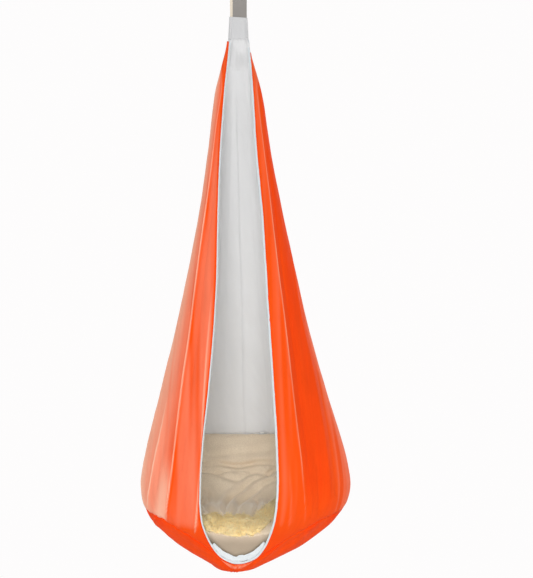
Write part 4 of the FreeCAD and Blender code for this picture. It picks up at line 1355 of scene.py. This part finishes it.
def split_patch(obj, chosen, points, normals, outer, inner, name):
    # A closed thin piece over the chosen faces of a mesh, between two offsets of its points
    faces = [tuple(p.vertices) for p in obj.data.polygons if chosen[list(p.vertices)].all()]
    used = np.array(sorted({v for face in faces for v in face}))
    index = {v: i for i, v in enumerate(used.tolist())}
    faces = [tuple(index[v] for v in face) for face in faces]
    edges = {edge: None for face in faces for edge in zip(face, face[1:] + face[:1])}
    count = len(used)
    closed = faces + [tuple(count + v for v in face[::-1]) for face in faces]
    closed += [(b, a, a + count, b + count) for a, b in edges if (b, a) not in edges]
    both = [points[used] + normals[used] * offset for offset in (outer[used][:, None], inner)]
    return make_object(name, np.concatenate(both), closed)


def fleece_share(place):
    # From 0 at the band's edges to 1 in its middle, negative outside it
    over = place[:, 1] - np.interp(place[:, 0], *FLEECE_TOP.T)
    under = np.interp(place[:, 0], *FLEECE_LOW.T) - place[:, 1]
    return np.minimum(over, under) / 6.0


TUFTS, TUFT_RADIUS = 6500, 0.75
normals = vertex_data(cushion, "normal")
share = fleece_share(seen_at(points))
_, reach = pod_reach(points)
band = (share > 0.02) & (toward_eye(points, normals) > -0.15) & (reach < 0.93)
band &= (points[:, 1] < 60) & (points[:, 2] < POD_BOTTOM + 215)
rooted = band & (reach < np.where(np.abs(points[:, 0]) < 105, 0.925, 0.87))
clump = 0.5 + 0.5 * value_noise(points[:, 0] / 13, points[:, 1] / 17, 95)
outer = 1.0 + (4.5 + 4.0 * clump) * smooth_step(share / 0.45)
backing = split_patch(cushion, band, points, normals, outer, 0.35, "fleece_backing")
settle(backing, pile_cloth, "fleece", "fleece_band")
rng = np.random.default_rng(17)
picked = rng.choice(np.nonzero(rooted)[0], TUFTS)
jitter = rng.normal(0, 2.2, (TUFTS, 3))
roots = points[picked] + normals[picked] * (outer[picked] - 1.2)[:, None] + jitter
lean = rng.normal(0, 0.8, (TUFTS, 3)) + np.array([0, -0.3, -0.45])
lean = unit(lean - normals[picked] * np.sum(lean * normals[picked], 1, keepdims=True))
lengths = rng.uniform(5, 11, TUFTS)
settle(tufts("fleece_pile", roots, normals[picked], lean, lengths, TUFT_RADIUS, 18), pile_cloth, "fleece")


# Camera, lamps, floor and world
camera = bpy.data.objects.new("camera", bpy.data.cameras.new("camera"))
scene.collection.objects.link(camera)
scene.camera = camera
camera.location = EYE * MM
camera.rotation_euler = (math.radians(90), 0, 0)
camera.data.lens = 114.6
camera.data.sensor_width = 36.0

# Lamps: place, height that they aim at, size, power
LAMPS = {
    "key_front": ((-0.2, -5.2, -1.0), -1.2, 1.9, 128), "key_left": ((-3.6, -2.0, 0.0), -1.2, 1.8, 44),
    "key_right": ((3.5, -2.6, -0.2), -1.2, 2.0, 50), "fill_back": ((2.0, 3.8, 0.2), -1.1, 2.4, 85),
}
for name, (place, aim, size, power) in LAMPS.items():
    data = bpy.data.lights.new(name, "AREA")
    data.size = size
    data.energy = power
    lamp = bpy.data.objects.new(name, data)
    scene.collection.objects.link(lamp)
    lamp.location = place
    lamp.rotation_euler = (Vector(place) - Vector((0, 0, aim))).to_track_quat("Z", "Y").to_euler()

BACKDROP = (0.985, 0.975, 0.975, 1)
AMBIENT = 0.43
FLOOR_HEIGHT, FLOOR_RADIUS, FLOOR_SIDES = -2130.0, 1900.0, 96
FADE_FROM, FADE_TO = 0.7, 1.75    # distances from the middle, in metres, over which the floor turns white


def white_to_the_eye(n):
    # 1 for what the camera sees directly, in a reflection or through a clear piece
    rays = n.add("ShaderNodeLightPath").outputs
    direct = n.math("MAXIMUM", rays["Is Camera Ray"], rays["Is Glossy Ray"])
    return n.math("MAXIMUM", direct, rays["Is Transmission Ray"])


around = np.linspace(0, 2 * math.pi, FLOOR_SIDES, False)
floor_points = [(radius * math.cos(a), radius * math.sin(a), FLOOR_HEIGHT)
                for radius in FLOOR_RADIUS * np.array([0.25, 0.5, 0.75, 1.0]) for a in around]
floor_faces = grid_faces(4, FLOOR_SIDES, 0, True) + [list(range(FLOOR_SIDES))]
floor = make_object("studio_floor", floor_points, floor_faces, body=None)
recalc(floor)
if floor.data.polygons[0].normal.z < 0:
    floor.data.flip_normals()
n = new_material("studio_floor")
speck = n.noise(n.object_point(), 6.0)
plain = n.surface(n.mix(speck, (0.90, 0.89, 0.885, 1), (0.93, 0.92, 0.915, 1)), 0.6)
glow = n.add("ShaderNodeEmission", {0: BACKDROP}).outputs[0]
flat = n.stretched(n.object_point(), (1, 1, 0))
away = n.add("ShaderNodeVectorMath", {0: flat}, operation="LENGTH").outputs["Value"]
white = n.math("MULTIPLY", white_to_the_eye(n), n.span(away, FADE_FROM, FADE_TO))
# From underneath the floor is clear
under = n.add("ShaderNodeNewGeometry").outputs["Backfacing"]
n.show(n.blend(under, n.blend(white, plain, glow), n.add("ShaderNodeBsdfTransparent").outputs[0]))
give(floor, n.owner)

world = bpy.data.worlds.new("studio")
scene.world = world
n = Nodes(world, "ShaderNodeOutputWorld")
soft = n.add("ShaderNodeBackground", {0: WHITE, 1: AMBIENT}).outputs[0]
seen = n.add("ShaderNodeBackground", {0: BACKDROP, 1: 1.0}).outputs[0]
n.show(n.blend(white_to_the_eye(n), soft, seen))

scene.view_settings.view_transform = "Standard"
